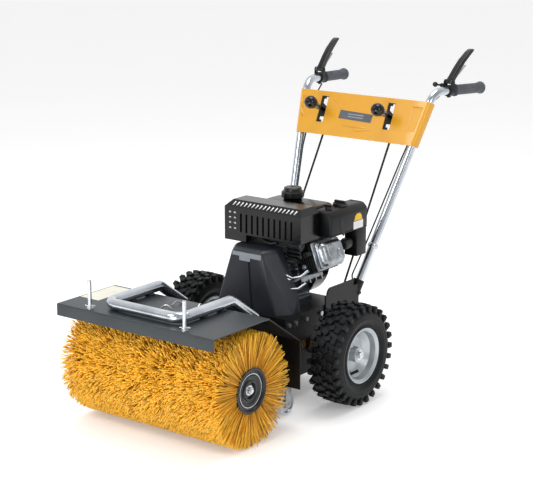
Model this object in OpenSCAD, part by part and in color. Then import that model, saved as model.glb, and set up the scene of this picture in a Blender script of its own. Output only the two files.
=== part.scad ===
// Walk behind sweeper: a driven cylindrical brush under a hood, on a swivelling head in front of a
// two wheeled chassis that carries the engine, a friction drive and the operator's handles.
// +X is the machine's left side, -Y is its front and +Z is up.

/* [Wheels] */
// Outside diameter of a drive tyre over its lugs
tyre_d = 326; // [300:1:400]
// Width of a drive tyre
tyre_w = 112; // [90:1:125]
// Distance between the middles of the drive tyres
track = 602; // [595:1:760]
// Depth of the tread lugs
lug_h = 10; // [6:1:14]
// Number of lugs in each of the two rows of a tyre
lug_count = 16; // [12:1:20]
// Diameter over the lips of a rim
rim_d = 176; // [150:1:190]
// Diameter of the drive axle
axle_d = 25.4; // [20:0.1:30]

/* [Brush] */
// Distance from the drive axle forward to the brush shaft
wheelbase = 496; // [480:1:640]
// Outside diameter of the bristles
brush_d = 350; // [300:1:364]
// Length of the brush over both halves
brush_len = 600; // [480:1:760]
// Diameter of the hub that the bristles stand on
hub_d = 138; // [120:1:150]
// Gap between the two halves of the brush
brush_gap = 64; // [60:1:90]

/* [Hood] */
// Width of the hood and of the guard behind the brush
hood_w = 602; // [500:1:760]
// Reach of the hood in front of the brush shaft
hood_front = 180; // [176:1:220]
// Depth of the hood from front to back
hood_depth = 256; // [240:1:300]
// Height of the top of the hood
hood_z = 376; // [370:1:420]
// Depth of the lip along the front of the hood
lip_h = 37; // [20:1:60]
// Thickness of the hood and guard sheet
hood_t = 3; // [2:0.5:4]
// Height of the lower edge of the guard
guard_low = 116; // [108:1:160]
// Diameter of the bumper tube
bumper_d = 33; // [20:1:40]
// Diameter of the accessory pins
pin_d = 12; // [8:0.5:16]
// Length of the accessory pins above the hood
pin_len = 87; // [50:1:110]
// Distance between the two accessory pins
pin_span = 364; // [340:1:440]

/* [Chassis] */
// Width over the side plates of the chassis
chassis_w = 310; // [290:1:330]
// Reach of the chassis in front of the axle
chassis_front = 152; // [145:1:160]
// Reach of the chassis behind the axle
chassis_back = 150; // [145:1:160]
// Height of the top of the engine deck
deck_z = 281; // [278:1:300]
// Height of the underside of the chassis
chassis_z = 78; // [72:1:84]
// Thickness of the chassis plates
plate_t = 4; // [3:0.5:5]

/* [Handles] */
// Outside diameter of the handle tubes
tube_d = 28; // [25:0.5:32]
// Height of the bend at the top of the handle tubes
bend_z = 916; // [860:1:980]
// Height of the rear ends of the grips
grip_z = 903; // [850:1:980]
// Distance behind the axle of the rear ends of the grips
grip_y = 808; // [760:1:860]
// Half the distance between the rear ends of the grips
grip_x = 283; // [262:1:320]
// Length of a grip
grip_len = 158; // [120:1:170]
// Height of the middle of the control panel
panel_z = 810; // [780:1:820]
// Height of the control panel along its slope
panel_h = 153; // [130:1:175]
// Thickness of the control panel sheet
panel_t = 3; // [2:0.5:4]

/* [Engine] */
// Height of the crankshaft above the deck
crank_h = 106; // [100:1:120]
// Upward tilt of the cylinder, in degrees
cyl_tilt = 20; // [15:1:25]
// Diameter of the crankshaft
crank_d = 19.05; // [18:0.05:25.4]
// Diameter of the fuel cap
cap_d = 74; // [60:1:80]

/* [Drive] */
// Pitch module of the axle gears
gear_m = 2; // [1.5:0.25:2.25]
// Teeth of the axle gear
axle_teeth = 37; // [33:1:40]
// Teeth of the drive shaft pinion
pinion_teeth = 17; // [17:1:19]
// Diameter of the friction wheel
friction_wheel_d = 76; // [70:1:78]
// Diameter of the friction disc
friction_disc_d = 150; // [130:1:160]
// Distance between the worm shaft and the brush shaft
worm_centres = 50; // [46:1:54]

/* [Hidden] */
$fn = 64;
// Clearance of a running fit, on the radius
run_gap = 0.06;

// Heights and places measured from the axle's point on the ground
axle_z = tyre_d / 2;
half_track = track / 2;
brush_z = brush_d / 2;
brush_y = -wheelbase;
hood_y0 = brush_y - hood_front;
hood_y1 = hood_y0 + hood_depth;
side_x = chassis_w / 2;
crank_z = deck_z + crank_h;
swivel_y = -chassis_front - 53;
guard_y = swivel_y - 63;
kink_z = 270;
worm_z = brush_z + worm_centres;

// Handle tubes: foot, corner and end of the left tube, and the plane that both tubes lie in
foot = [140, 232, 235];
corner = [255, 540, bend_z];
grip_end = [grip_x, grip_y, grip_z];
bend_r = 60;
tube_lean = atan2(corner[1] - foot[1], corner[2] - foot[2]);
tube_rise = norm([corner[1] - foot[1], corner[2] - foot[2]]);
tube_splay = atan2(corner[0] - foot[0], tube_rise);
panel_k = (panel_z - foot[2]) / (corner[2] - foot[2]);
panel_y = foot[1] + panel_k * (corner[1] - foot[1]);
panel_x = foot[0] + panel_k * (corner[0] - foot[0]);
grip_dir = (grip_end - corner) / norm(grip_end - corner);
grip_yaw = atan2(grip_dir[0], grip_dir[1]);
grip_pitch = asin(grip_dir[2]);
grip_cap_r = 21;

// The origin is under the middle of the whole machine: the hood's lip is its front and the ends of
// the grips are its rear
rear_reach = grip_y + grip_cap_r * sqrt(1 - grip_dir[1] * grip_dir[1]);
axle_y = -(hood_y0 + rear_reach) / 2;

// Friction drive: the disc faces the rear, and its wheel runs against it ahead of the axle
disc_face_y = -90;
shaft_y = disc_face_y + friction_wheel_d / 2 + 0.3;
gear_centres = gear_m * (axle_teeth + pinion_teeth) / 2;
shaft_z = axle_z + sqrt(gear_centres * gear_centres - shaft_y * shaft_y);
mesh_angle = atan2(shaft_z - axle_z, shaft_y);
gear_x = -118;

// Control levers, in the panel's own frame
lever_x = [-150, 120];
lever_pivot_y = 50;
lever_arm = 40;
slot_w = 28;
slot_h = 93;
slot_v = 13;
rod_tilt = 6.6;

module from_axle() translate([0, axle_y, 0]) children();
module at_engine() from_axle() translate([0, 0, crank_z]) children();
module on_head() from_axle() children();
module on_panel() from_axle() translate([0, panel_y, panel_z]) rotate([-tube_lean, 0, 0]) children();
module both() { children(); mirror([1, 0, 0]) children(); }
module rod_x(r, h) rotate([0, 90, 0]) cylinder(r = r, h = h, center = true);
module rod_y(r, h) rotate([-90, 0, 0]) cylinder(r = r, h = h);
module box(x0, x1, y0, y1, z0, z1) translate([x0, y0, z0]) cube([x1 - x0, y1 - y0, z1 - z0]);

// Rectangle with true round corners, centred
module round_rect(w, h, r) {
  square([w - 2 * r, h], center = true);
  square([w, h - 2 * r], center = true);
  for (x = [-1, 1], y = [-1, 1]) translate([x * (w / 2 - r), y * (h / 2 - r)]) circle(r);
}

// Slot with round ends along y, centred
module slot_shape(w, h) {
  square([w, h - w], center = true);
  for (s = [-1, 1]) translate([0, s * (h - w) / 2]) circle(w / 2);
}

// Frame whose z axis runs from point a to point b
module along(a, b) {
  d = b - a;
  translate(a) rotate([0, acos(d[2] / norm(d)), atan2(d[1], d[0])]) children();
}

function unit(v) = v / norm(v);
bend_over = 1.5;

// Tangent length of a bend of radius bend at corner i of a route
function trim(p, i, bend) = i == 0 || i == len(p) - 1 ? 0
  : bend * tan(acos(unit(p[i] - p[i - 1]) * unit(p[i + 1] - p[i])) / 2);

// Round bar along a route of straight runs joined by true bends
module pipe(p, r, bend) {
  for (i = [0 : len(p) - 2]) {
    u = unit(p[i + 1] - p[i]);
    along(p[i] + u * trim(p, i, bend), p[i + 1] - u * trim(p, i + 1, bend))
      cylinder(r = r, h = norm(p[i + 1] - p[i]) - trim(p, i, bend) - trim(p, i + 1, bend));
  }
  for (i = [1 : len(p) - 2]) {
    u = unit(p[i] - p[i - 1]);
    w = unit(p[i + 1] - p[i]);
    n = unit(w - (w * u) * u);
    c = p[i] - u * trim(p, i, bend) + n * bend;
    k = cross(-n, u);
    // the bend runs a little way into each straight run, and is a hair thinner so that they join
    multmatrix([[-n[0], u[0], k[0], c[0]], [-n[1], u[1], k[1], c[1]], [-n[2], u[2], k[2], c[2]]])
      rotate(-bend_over) rotate_extrude(angle = acos(u * w) + 2 * bend_over) translate([bend, 0]) circle(r - 0.05);
  }
}

// Involute gear profile of n teeth, with a tooth centred on +x
function involute(rb, a) = [rb * (cos(a) + a * PI / 180 * sin(a)), rb * (sin(a) - a * PI / 180 * cos(a))];
function spin(p, a) = [p[0] * cos(a) - p[1] * sin(a), p[0] * sin(a) + p[1] * cos(a)];
module gear_shape(n, m) {
  rp = n * m / 2;
  rb = rp * cos(20);
  ra = rp + 0.9 * m;
  rf = rp - 1.25 * m;
  pitch_roll = sqrt(rp * rp / (rb * rb) - 1) * 180 / PI;
  top_roll = sqrt(ra * ra / (rb * rb) - 1) * 180 / PI;
  pitch_turn = pitch_roll - atan(pitch_roll * PI / 180);
  half_tooth = 90 / n - 0.9;
  low_roll = rf > rb ? sqrt(rf * rf / (rb * rb) - 1) * 180 / PI : 0;
  flank = [for (i = [0 : 4]) spin(involute(rb, low_roll + (top_roll - low_roll) * i / 4), -half_tooth - pitch_turn)];
  root = spin([rf, 0], -half_tooth - pitch_turn);
  half = concat(rf < rb ? [root] : [], flank);
  other = [for (i = [len(half) - 1 : -1 : 0]) [half[i][0], -half[i][1]]];
  polygon([for (t = [0 : n - 1]) each [for (p = concat(half, other)) spin(p, t * 360 / n)]]);
}

// V belt pulley along z, from z = 0, with its groove floor at radius r
module pulley(r, width, bore) {
  rotate_extrude() polygon([[bore, 0], [r + 9, 0], [r + 9, 1.5], [r, 4], [r, width - 4], [r + 9, width - 1.5],
    [r + 9, width], [bore, width]]);
}

// Belt loop in the y = 0 plane between two pulleys on one vertical line
module belt_loop(z0, r0, z1, r1, thick, width) {
  rotate([90, 0, 0]) translate([0, 0, -width / 2]) linear_extrude(width) difference() {
    hull() {
      translate([0, z0]) circle(r0 + thick, $fn = 48);
      translate([0, z1]) circle(r1 + thick, $fn = 48);
    }
    hull() {
      translate([0, z0]) circle(r0, $fn = 48);
      translate([0, z1]) circle(r1, $fn = 48);
    }
  }
}

// ---- Chassis ----
engine_pulley_r = 28;
brush_pulley_r = 60;
disc_pulley_r = 56;
brush_belt_y = -129;
disc_belt_y = -107;
pulley_w = 14;
belt_gap = 0.5;

module chassis_box() color("#17181b") from_axle() {
  difference() {
    box(-side_x, side_x, -chassis_front, chassis_back, chassis_z, deck_z - plate_t);
    box(-side_x + plate_t, side_x - plate_t, -chassis_front + plate_t, chassis_back - plate_t,
      chassis_z - 1, deck_z);
    // bores for the axle bushes and the drive shaft bushes
    translate([0, 0, axle_z]) rod_x(axle_d / 2 + 6, chassis_w + 2);
    translate([0, shaft_y, shaft_z]) rod_x(12, chassis_w + 2);
    // hole for the brush drive shaft
    translate([0, -chassis_front - 1, worm_z]) rod_y(16, plate_t + 2);
  }
  // ears that hold the swivel pins
  for (z = [deck_z - plate_t - 7, 84]) translate([0, swivel_y, z]) linear_extrude(7) difference() {
    union() {
      circle(28);
      translate([-28, 0]) square([56, swivel_y < 0 ? -chassis_front - swivel_y : 0]);
    }
    circle(12);
  }
  // cross plate and spindle that carry the friction disc
  box(-side_x + plate_t, side_x - plate_t, -119, -116, shaft_z - 16, shaft_z + 16);
  translate([0, -116, shaft_z]) rod_y(8, 116 + disc_face_y);
  // rear guides of the control rods
  difference() {
    for (x = lever_x) box(rod_x_at(x) - 10, rod_x_at(x) + 10, chassis_back - 1, rod_y_at(guide_z) + 12,
      guide_z - 8, guide_z + 8);
    for (x = lever_x) rod_frame(x) translate([0, 0, -rod_len]) cylinder(r = rod_r + 0.5, h = rod_len);
  }
}

module engine_deck() color("#1b1c1f") from_axle() {
  flange_z = 238;
  difference() {
    union() {
      box(-side_x - plate_t, side_x + plate_t, -chassis_front, chassis_back, deck_z - plate_t, deck_z);
      both() box(side_x, side_x + plate_t, -chassis_front, chassis_back - 20, flange_z, deck_z);
    }
    box(-72, 72, -142, -92, deck_z - plate_t - 1, deck_z + 1);
    for (x = [-66, 66], y = [-28, 78]) translate([x, y, deck_z - plate_t - 1]) cylinder(r = 4.5, h = plate_t + 2);
    for (s = [-1, 1], y = deck_bolt_y) translate([s * (side_x + plate_t / 2), y, deck_bolt_z]) rod_x(4.2, plate_t + 2);
  }
}

module bottom_cover() color("#17181b") from_axle()
  box(-side_x, side_x, -chassis_front, chassis_back, chassis_z - 2, chassis_z);

deck_bolt_y = [-131, -97, -41, 40];
deck_bolt_z = 258;
module deck_bolts() color("#c9ccd0") from_axle() {
  for (s = [-1, 1], y = deck_bolt_y) translate([s * (side_x + plate_t), y, deck_bolt_z]) {
    translate([s * 3, 0, 0]) rotate([0, 90, 0]) cylinder(r = 8, h = 6, center = true, $fn = 6);
    rod_x(4, 6);
  }
  for (x = [-66, 66], y = [-28, 78]) translate([x, y, deck_z - plate_t]) {
    cylinder(r = 4.2, h = plate_t + 14);
    translate([0, 0, plate_t + 9]) cylinder(r = 8, h = 7, $fn = 6);
  }
}

module axle_bushes() color("#b08d4a") from_axle() {
  both() {
    translate([side_x - 2, 0, axle_z]) difference() {
      union() {
        rod_x(axle_d / 2 + 6, 16);
        translate([8, 0, 0]) rod_x(axle_d / 2 + 12, 4);
      }
      rod_x(axle_d / 2 + run_gap, 24);
    }
    translate([side_x - 2, shaft_y, shaft_z]) difference() {
      rod_x(12, 12);
      rod_x(8 + run_gap, 24);
    }
  }
}

module swivel_pins() color("#b9bdc1") from_axle() {
  for (z = [deck_z - plate_t - 26, 78]) translate([0, swivel_y, z]) cylinder(r = 12, h = 26);
}

// One level of the cover: its front edge runs from -front[0] to front[1], with chamfered corners
module cover_slab(front, side, chamfer, back, z) translate([0, 0, z]) linear_extrude(1) polygon([
  [-front[0], -140], [front[1], -140], [side, -140 + chamfer], [side, back], [-side, back], [-side, -140 + chamfer]]);
module cover_shell(in) hull() {
  cover_slab([120 - in, 112 - in], 150 - in, 48, -62, deck_z);
  cover_slab([104 - in, 97 - in], 149 - in, 74, -62, deck_z + 44);
  cover_slab([57 - in, 60 - in], 86 - in, 48, -62, crank_z + 83 - in);
  translate([0, 18, 0]) cover_slab([52 - in, 54 - in], 78 - in, 34, -80, crank_z + 93 - in);
}
module belt_cover() color("#30333a") from_axle() {
  difference() {
    cover_shell(0);
    translate([0, 3, -3]) cover_shell(3);
    // off-centre groove down the front
    translate([19, -141, deck_z - 1]) rotate([0, -4.5, 0]) cube([9, 4, 165]);
  }
}

// ---- Engine ----
cyl_y = 45;
module on_cylinder() at_engine() translate([0, cyl_y, 0]) rotate([0, -cyl_tilt, 0]) rotate([0, 90, 0]) children();

module crankcase() color("#c3c7ca") at_engine() difference() {
  union() {
    box(-78, 78, -44, 91.5, -crank_h + 12, 62);
    box(-86, 86, -48, 91.5, -crank_h, -crank_h + 12);
    translate([0, -54, 0]) rod_y(40, 12);
    translate([0, cyl_y, 0]) rotate([0, -cyl_tilt, 0]) box(60, 118, -70, 46, -62, 30);
    // ribs under the cylinder casting
    for (y = [-18, 14, 46, 78]) translate([0, y, 0]) rotate([0, -cyl_tilt, 0]) box(72, 122, -2.5, 2.5, -72, -60);
  }
  translate([0, -60, 0]) rod_y(crank_d / 2 + run_gap, 170);
  box(-62, 62, -34, 82, -70, 48);
  translate([0, cyl_y, 0]) rotate([0, -cyl_tilt, 0]) rotate([0, 90, 0]) cylinder(r = 34, h = 130);
  for (x = [-66, 66], y = [-28, 78]) translate([x, y, -crank_h - 1]) cylinder(r = 4.4, h = 15);
  for (x = [-66, 66], y = [-28, 78]) translate([x, y, -crank_h + 9]) cylinder(r = 11, h = 22);
}

module cylinder_block() color("#1e1f22") on_cylinder() difference() {
  union() {
    translate([0, 0, 118]) cylinder(r = 44, h = 60);
    for (i = [0 : 6]) translate([-6, 0, 119 + i * 8.5]) linear_extrude(3.2) round_rect(104, 138, 12);
    translate([-6, 0, 173]) linear_extrude(12) round_rect(96, 126, 10);
  }
  translate([0, 0, 100]) cylinder(r = 34, h = 66);
}

module rocker_cover() color("#d5d8da") on_cylinder() {
  difference() {
    union() {
      translate([-4, 0, 185]) linear_extrude(5) round_rect(92, 134, 14);
      translate([-4, 0, 190]) linear_extrude(22) round_rect(80, 118, 24);
      hull() for (v = [-18, 14], y = [-34, 34]) translate([v - 4, y, 204]) sphere(r = 21, $fn = 32);
      // cooling ribs on the dome
      for (y = [-38, -26, -14]) translate([-4, y, 212]) cube([62, 3, 26], center = true);
    }
    translate([-4, 0, 180]) linear_extrude(24) round_rect(70, 108, 18);
  }
}

module fan_housing() color("#1d1e21") at_engine() difference() {
  translate([0, 92, 8]) rod_y(114, 62);
  translate([0, 91, 8]) rod_y(108, 58);
  box(-130, 130, 80, 170, -130, -crank_h + 1);
  // opening for the flywheel's hub and the starter
  translate([0, 140, 0]) rod_y(70, 20);
  // gap for the cylinder and the fuel tank
  translate([0, 45, 0]) rotate([0, -cyl_tilt, 0]) box(100, 140, 0, 60, -60, 70);
}

starter_x = -50;
starter_y = 170;
module recoil_cover() color("#1b1c1f") at_engine() difference() {
  union() {
    translate([0, 154, 0]) rod_y(92, 28);
    translate([0, 182, 0]) rod_y(60, 8);
  }
  translate([0, 153, 0]) rod_y(84, 26);
  for (i = [0 : 11]) rotate([0, i * 30, 0]) translate([72, 150, 0]) rotate([-90, 0, 0]) linear_extrude(40)
    slot_shape(7, 20);
  // outlet of the starter cord
  translate([starter_x, starter_y, 50]) cylinder(r = 5, h = 60);
}

guard_x0 = -134;
guard_x1 = 166;
guard_z1 = crank_z + 224;
module muffler() color("#8d8a86") from_axle() {
  translate([20, -28, crank_z + 168]) rotate([0, 90, 0]) linear_extrude(200, center = true) round_rect(78, 66, 26);
  pipe([[106, -40, crank_z + 140], [106, -40, crank_z + 62], [106, -25.2, crank_z + 62]], 11, 13);
}

module guard_body(in) hull() {
  translate([0, 0, crank_z + 120]) linear_extrude(84) translate([(guard_x0 + guard_x1) / 2, -32])
    square([guard_x1 - guard_x0 - 2 * in, 96 - 2 * in], center = true);
  translate([0, 6, guard_z1 - 4 - in]) linear_extrude(4) translate([(guard_x0 + guard_x1) / 2, -28])
    square([guard_x1 - guard_x0 - 34 - 2 * in, 66 - 2 * in], center = true);
}
module muffler_guard() color("#101114") from_axle() {
  difference() {
    union() {
      guard_body(0);
      box(guard_x0, guard_x0 + 86, -80, 16, crank_z + 96, crank_z + 124);
    }
    translate([0, 3, -3]) guard_body(3);
    box(guard_x0 + 3, guard_x0 + 83, -77, 20, crank_z + 80, crank_z + 130);
    // upright louvres across the front
    for (i = [0 : 9]) translate([guard_x0 + 66 + i * 22, -80, crank_z + 156]) rotate([90, 0, 0])
      linear_extrude(10, center = true) slot_shape(8, 62);
    // two columns of oval holes at the end
    for (i = [0 : 3], x = [20, 40]) translate([guard_x0 + x, -80, crank_z + 136 + i * 17]) rotate([90, 0, 0])
      linear_extrude(10, center = true) rotate(90) slot_shape(6, 12);
    // row of slanted slots along the top edge
    for (i = [0 : 16]) translate([guard_x0 + 30 + i * 15, -68, crank_z + 214]) rotate([50, 0, 0])
      linear_extrude(40, center = true) rotate(-20) slot_shape(5, 17);
  }
}

module fuel_tank() color("#1a1918") from_axle() {
  difference() {
    union() {
      translate([20, 96, crank_z + 154]) linear_extrude(44) round_rect(226, 132, 30);
      translate([20, 96, crank_z + 198]) linear_extrude(10) round_rect(210, 112, 26);
      translate([0, 105, crank_z + 204]) cylinder(r = 26, h = 12);
    }
    translate([20, 96, crank_z + 158]) linear_extrude(36) round_rect(218, 124, 26);
    translate([0, 105, crank_z + 190]) cylinder(r = 21, h = 40);
  }
  // legs down to the fan housing
  for (x = [-60, 60]) translate([x, 120, crank_z + 112]) cylinder(r = 7, h = 46);
}

box_x = 134;
module heater_block(in) hull() {
  box(box_x + 28 + in, box_x + 70 - in, 30 + in, 236 - in, crank_z + 115 + in, crank_z + 188 - in);
  box(box_x + in, box_x + 52 - in, 30 + in, 236 - in, crank_z + 115 + in, crank_z + 206 - in);
}
module heater_box() color("#26272b") from_axle() {
  difference() {
    union() {
      heater_block(0);
      box(box_x + 20, box_x + 66, 180, 232, crank_z + 34, crank_z + 117);
    }
    heater_block(3);
    box(box_x + 23, box_x + 63, 183, 229, crank_z + 30, crank_z + 114);
    // oval recess in the side
    translate([box_x + 70, 96, crank_z + 148]) rotate([0, 90, 0]) rotate(14) linear_extrude(16, center = true)
      slot_shape(24, 58);
  }
}

module carburettor() color("#8e9194") from_axle() {
  translate([box_x + 6, 96, crank_z + 150]) rotate([0, 90, 0]) cylinder(r = 19, h = 40);
  translate([box_x + 26, 96, crank_z + 118.2]) cylinder(r = 18, h = 20);
}

module spark_plug() color("#151517") on_cylinder() translate([-20, -63, 179]) rotate([90, 0, 0]) {
  cylinder(r = 5, h = 10);
  translate([0, 0, 9]) cylinder(r = 9, h = 24);
}

module drive_belts() color("#202123") from_axle() {
  translate([0, brush_belt_y, 0]) belt_loop(worm_z, brush_pulley_r + belt_gap, crank_z,
    engine_pulley_r + belt_gap, 7, 5);
  translate([0, disc_belt_y, 0]) belt_loop(shaft_z, disc_pulley_r + belt_gap, crank_z,
    engine_pulley_r + belt_gap, 7, 5);
}

// ---- Handles ----
module handle_brackets() color("#141517") from_axle() both() difference() {
  bracket();
  along(foot, corner) translate([0, 0, -4]) cylinder(r = tube_d / 2 + 0.02, h = 120);
}
module bracket() {
  // side plate with a round top ahead of the tube's foot
  translate([side_x + plate_t, 0, 0]) rotate([90, 0, 90]) linear_extrude(5) {
    translate([62, 236]) square([foot[1] - 44, 74]);
    translate([92, 310]) circle(22);
    translate([92, 288]) square([chassis_back - 24, 44]);
  }
  // tube socket behind the deck
  along(foot + [0, 0, 6], corner) cylinder(r = tube_d / 2 + 5, h = 86);
  box(foot[0] + 10, side_x + plate_t + 5, foot[1] - 6, foot[1] + 18, 240, 300);
  // clamp bolt
  translate([foot[0] + 6, foot[1] + 20, foot[2] + 44]) rotate([0, 90, 0]) cylinder(r = 7, h = 22, $fn = 6);
}

module handle_tube() {
  difference() {
    pipe([foot, corner, grip_end - grip_dir * 6], tube_d / 2, bend_r);
    along(foot, corner) translate([0, 0, -1]) cylinder(r = tube_d / 2 - 2, h = norm(corner - foot) - bend_r);
  }
}
module left_handle_tube() color("#c2c6ca") from_axle() handle_tube();
module right_handle_tube() color("#c2c6ca") from_axle() mirror([1, 0, 0]) handle_tube();

wrap_in = tube_d / 2 + 0.8;
module control_panel() color("#eab12f") on_panel() {
  wrap_out = wrap_in + panel_t;
  half = panel_h / 2;
  k = tan(tube_splay);
  difference() {
    union() {
      translate([0, -wrap_in, 0]) rotate([90, 0, 0]) linear_extrude(panel_t) polygon([
        [-panel_x - half * k, half], [panel_x + half * k, half], [panel_x - half * k, -half],
        [-panel_x + half * k, -half]]);
      both() translate([panel_x, 0, 0]) rotate([0, tube_splay, 0]) translate([0, 0, -half]) linear_extrude(panel_h) {
        difference() {
          circle(wrap_out);
          circle(wrap_in);
          translate([-40, -40]) square([40, 80]);
          translate([-40, 0]) square([80, 40]);
        }
        translate([wrap_in, 0]) square([panel_t, 14]);
      }
    }
    for (x = lever_x) translate([x, -wrap_in, slot_v]) rotate([90, 0, 0]) linear_extrude(12, center = true)
      square([slot_w, slot_h], center = true);
    // shallow fields pressed into the sheet at each side
    both() translate([0, -wrap_in - panel_t, 0]) rotate([90, 0, 0]) linear_extrude(2.4, center = true)
      polygon([[184, -45], [178, 46], [214, 52], [230, 60], [206, -45]]);
  }
  // raised ribs above and below the name plate
  translate([-6, -wrap_in - panel_t + 1, -36]) rotate([90, 0, 0]) linear_extrude(2.2) round_rect(96, 5, 2.4);
  translate([-92, -wrap_in - panel_t + 1, 38]) rotate([90, 0, 0]) rotate([0, 0, -40]) linear_extrude(2.2)
    round_rect(52, 4, 1.9);
}

// Black gate plates behind the slots, and the cross bar that carries the lever pivots
module panel_frame() color("#1a1b1d") on_panel() {
  for (x = lever_x) {
    translate([x, -wrap_in, slot_v]) rotate([-90, 0, 0]) linear_extrude(3) difference() {
      square([slot_w + 16, slot_h + 16], center = true);
      square([11, slot_h - 18], center = true);
      translate([7, 0]) square([9, slot_h - 4], center = true);
    }
    // ear beside the lever, with the lever's pivot pin
    translate([x - 13, 0, slot_v]) rotate([90, 0, 90]) linear_extrude(4, center = true)
      polygon([[-wrap_in + 3, -26], [-wrap_in + 3, 26], [lever_pivot_y, 12], [lever_pivot_y + 10, 0], [lever_pivot_y, -12]]);
    translate([x - 5, lever_pivot_y, slot_v]) rod_x(4, 22);
  }
}

grip_r = 17;
module grip() along(grip_end - grip_dir * grip_len, grip_end) difference() {
  union() {
    cylinder(r = grip_r, h = grip_len - 5);
    cylinder(r = grip_r + 4, h = 6);
    translate([0, 0, grip_len - 22]) cylinder(r = grip_r + 1.5, h = 17);
    translate([0, 0, grip_len - 12]) cylinder(r = grip_cap_r, h = 12);
  }
  translate([0, 0, -1]) cylinder(r = tube_d / 2 + 0.02, h = grip_len - 4.9);
}
module grips() color("#55585d") from_axle() both() grip();

// Frame of the left clutch lever: origin on its pivot, +y along the grip
lever_s = norm(grip_end - corner) - grip_len - 26;
lever_h = 28;
module at_lever() translate(corner + grip_dir * lever_s) rotate([0, 0, -grip_yaw]) translate([0, 0, lever_h]) children();
paddle_angle = 39;
lock_z = -13;

module lever_mount() {
  at_lever() {
    translate([0, 0, -lever_h]) rotate([grip_pitch, 0, 0]) translate([0, -11, 0]) difference() {
      rod_y(tube_d / 2 + 5, 22);
      translate([0, -1, 0]) rod_y(tube_d / 2 + 0.02, 24);
    }
    for (s = [-1, 1]) translate([s * 15, 0, 0]) rotate([90, 0, 90]) linear_extrude(4, center = true) difference() {
      union() {
        circle(9);
        translate([-9, -lever_h + 8]) square([18, lever_h - 8]);
      }
      circle(4);
    }
    rod_x(4, 38);
    // pinch bolt under the clamp
    translate([0, 0, -lever_h - tube_d / 2 - 5]) rotate([90, 0, 0]) cylinder(r = 5, h = 12, center = true, $fn = 6);
  }
}
module lever_mounts() color("#17181a") from_axle() {
  both() lever_mount();
  // boss that carries the lock knob, on the left side only
  at_lever() difference() {
    translate([-25, 0, lock_z]) rod_x(7, 17);
    translate([-31, 0, lock_z]) rod_x(3.5 + run_gap, 21);
  }
}

module clutch_lever() at_lever() rotate([paddle_angle, 0, 0]) {
  rotate([90, 0, 90]) linear_extrude(20, center = true) difference() {
    union() {
      circle(8);
      polygon([[0, -7], [0, 7], [60, 10], [150, 8], [158, 2], [156, -4], [60, -6]]);
      translate([-12, 1]) square([12, 6]);
    }
    circle(4 + run_gap);
  }
  // thin steel blade under the paddle
  translate([0, 14, -9.5]) rotate([-5, 0, 0]) translate([-7, 0, 0]) cube([14, 84, 2.5]);
  translate([-5, 15, -13]) cube([10, 6, 10]);
}
module left_clutch_lever() color("#1d1e20") from_axle() clutch_lever();
module right_clutch_lever() color("#1d1e20") from_axle() mirror([1, 0, 0]) clutch_lever();

module lock_knob() color("#111214") from_axle() at_lever() translate([0, 0, lock_z]) rotate([0, 90, 0]) rotate_extrude() {
  intersection() {
    translate([0, -58]) circle(9);
    translate([0, -70]) square([20, 40]);
  }
  translate([0, -54]) square([3.5, 32]);
}

// Route of the left clutch cable, from the lever down beside the handle tube to its bracket
module clutch_cable() pipe([[240, 604, 894], [222, 530, 852], [200, 436, 700], [150, 300, 420],
  [148, 232, 340], [156, 231, 300.6]], 2.5, 18);
module clutch_cables() color("#3a3c40") from_axle() both() clutch_cable();

// ---- Levers and rods ----
rod_r = 3.5;
rod_len = 670;
guide_z = 264;
function rod_x_at(x) = x + 16;
rod_top = [panel_y + sin(tube_lean) * slot_v + cos(tube_lean) * (lever_pivot_y - lever_arm),
  panel_z + cos(tube_lean) * slot_v - sin(tube_lean) * (lever_pivot_y - lever_arm)];
function rod_y_at(z) = rod_top[0] - tan(tube_lean + rod_tilt) * (rod_top[1] - z);

// Frame of a rod: origin on its top pin, +z up along it
module rod_frame(x) translate([rod_x_at(x), rod_top[0], rod_top[1]]) rotate([-tube_lean - rod_tilt, 0, 0]) children();

module control_lever(x) on_panel() translate([x, lever_pivot_y, slot_v]) {
  difference() {
    union() {
      rotate([90, 0, 90]) linear_extrude(6, center = true) {
        circle(8);
        translate([-lever_pivot_y - wrap_in - 40, -5]) square([lever_pivot_y + wrap_in + 40, 10]);
      }
      // cross pin that the rod's fork rides on
      translate([10.5, -lever_arm, 0]) rod_x(3, 27);
    }
    rod_x(4 + run_gap, 20);
  }
  // tear shaped knob
  translate([0, -lever_pivot_y - 70, 0]) rotate([-90, 0, 0]) hull() {
    cylinder(r = 7, h = 24, $fn = 32);
    translate([0, 0, -24]) sphere(r = 18, $fn = 32);
  }
}
module speed_lever() color("#141416") control_lever(lever_x[1]);
module swivel_lever() color("#141416") control_lever(lever_x[0]);

module control_rod(x) from_axle() rod_frame(x) {
  translate([0, 0, -rod_len]) cylinder(r = rod_r, h = rod_len - 9);
  difference() {
    translate([-5, -13, -10]) cube([10, 26, 20]);
    rotate([0, 90, 0]) linear_extrude(20, center = true) slot_shape(8, 20);
  }
}
module speed_rod() color("#131416") control_rod(lever_x[1]);
module swivel_rod() color("#131416") control_rod(lever_x[0]);

// ---- Small engine pieces that move ----
module starter_grip() color("#17181a") at_engine() translate([starter_x, starter_y, 84]) {
  cylinder(r = 7, h = 16);
  translate([0, 0, 20]) rotate([90, 0, 0]) rotate(90) linear_extrude(15, center = true) slot_shape(16, 84);
  translate([0, 0, -26]) cylinder(r = 2.5, h = 38);
}

module fuel_cap() color("#141416") from_axle() translate([0, 105, crank_z + 217]) {
  cylinder(r = cap_d / 2, h = 22);
  for (i = [0 : 11]) rotate(i * 30) translate([cap_d / 2 - 1, 0, 0]) cylinder(r = 3, h = 20);
  translate([0, 0, 22]) cylinder(r = cap_d / 2 - 8, h = 12);
}

module choke_knob() color("#101012") from_axle() translate([box_x + 34, 66, crank_z + 206.5]) {
  cylinder(r = 11, h = 8);
  translate([0, 0, 11]) cube([26, 7, 8], center = true);
}

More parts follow.
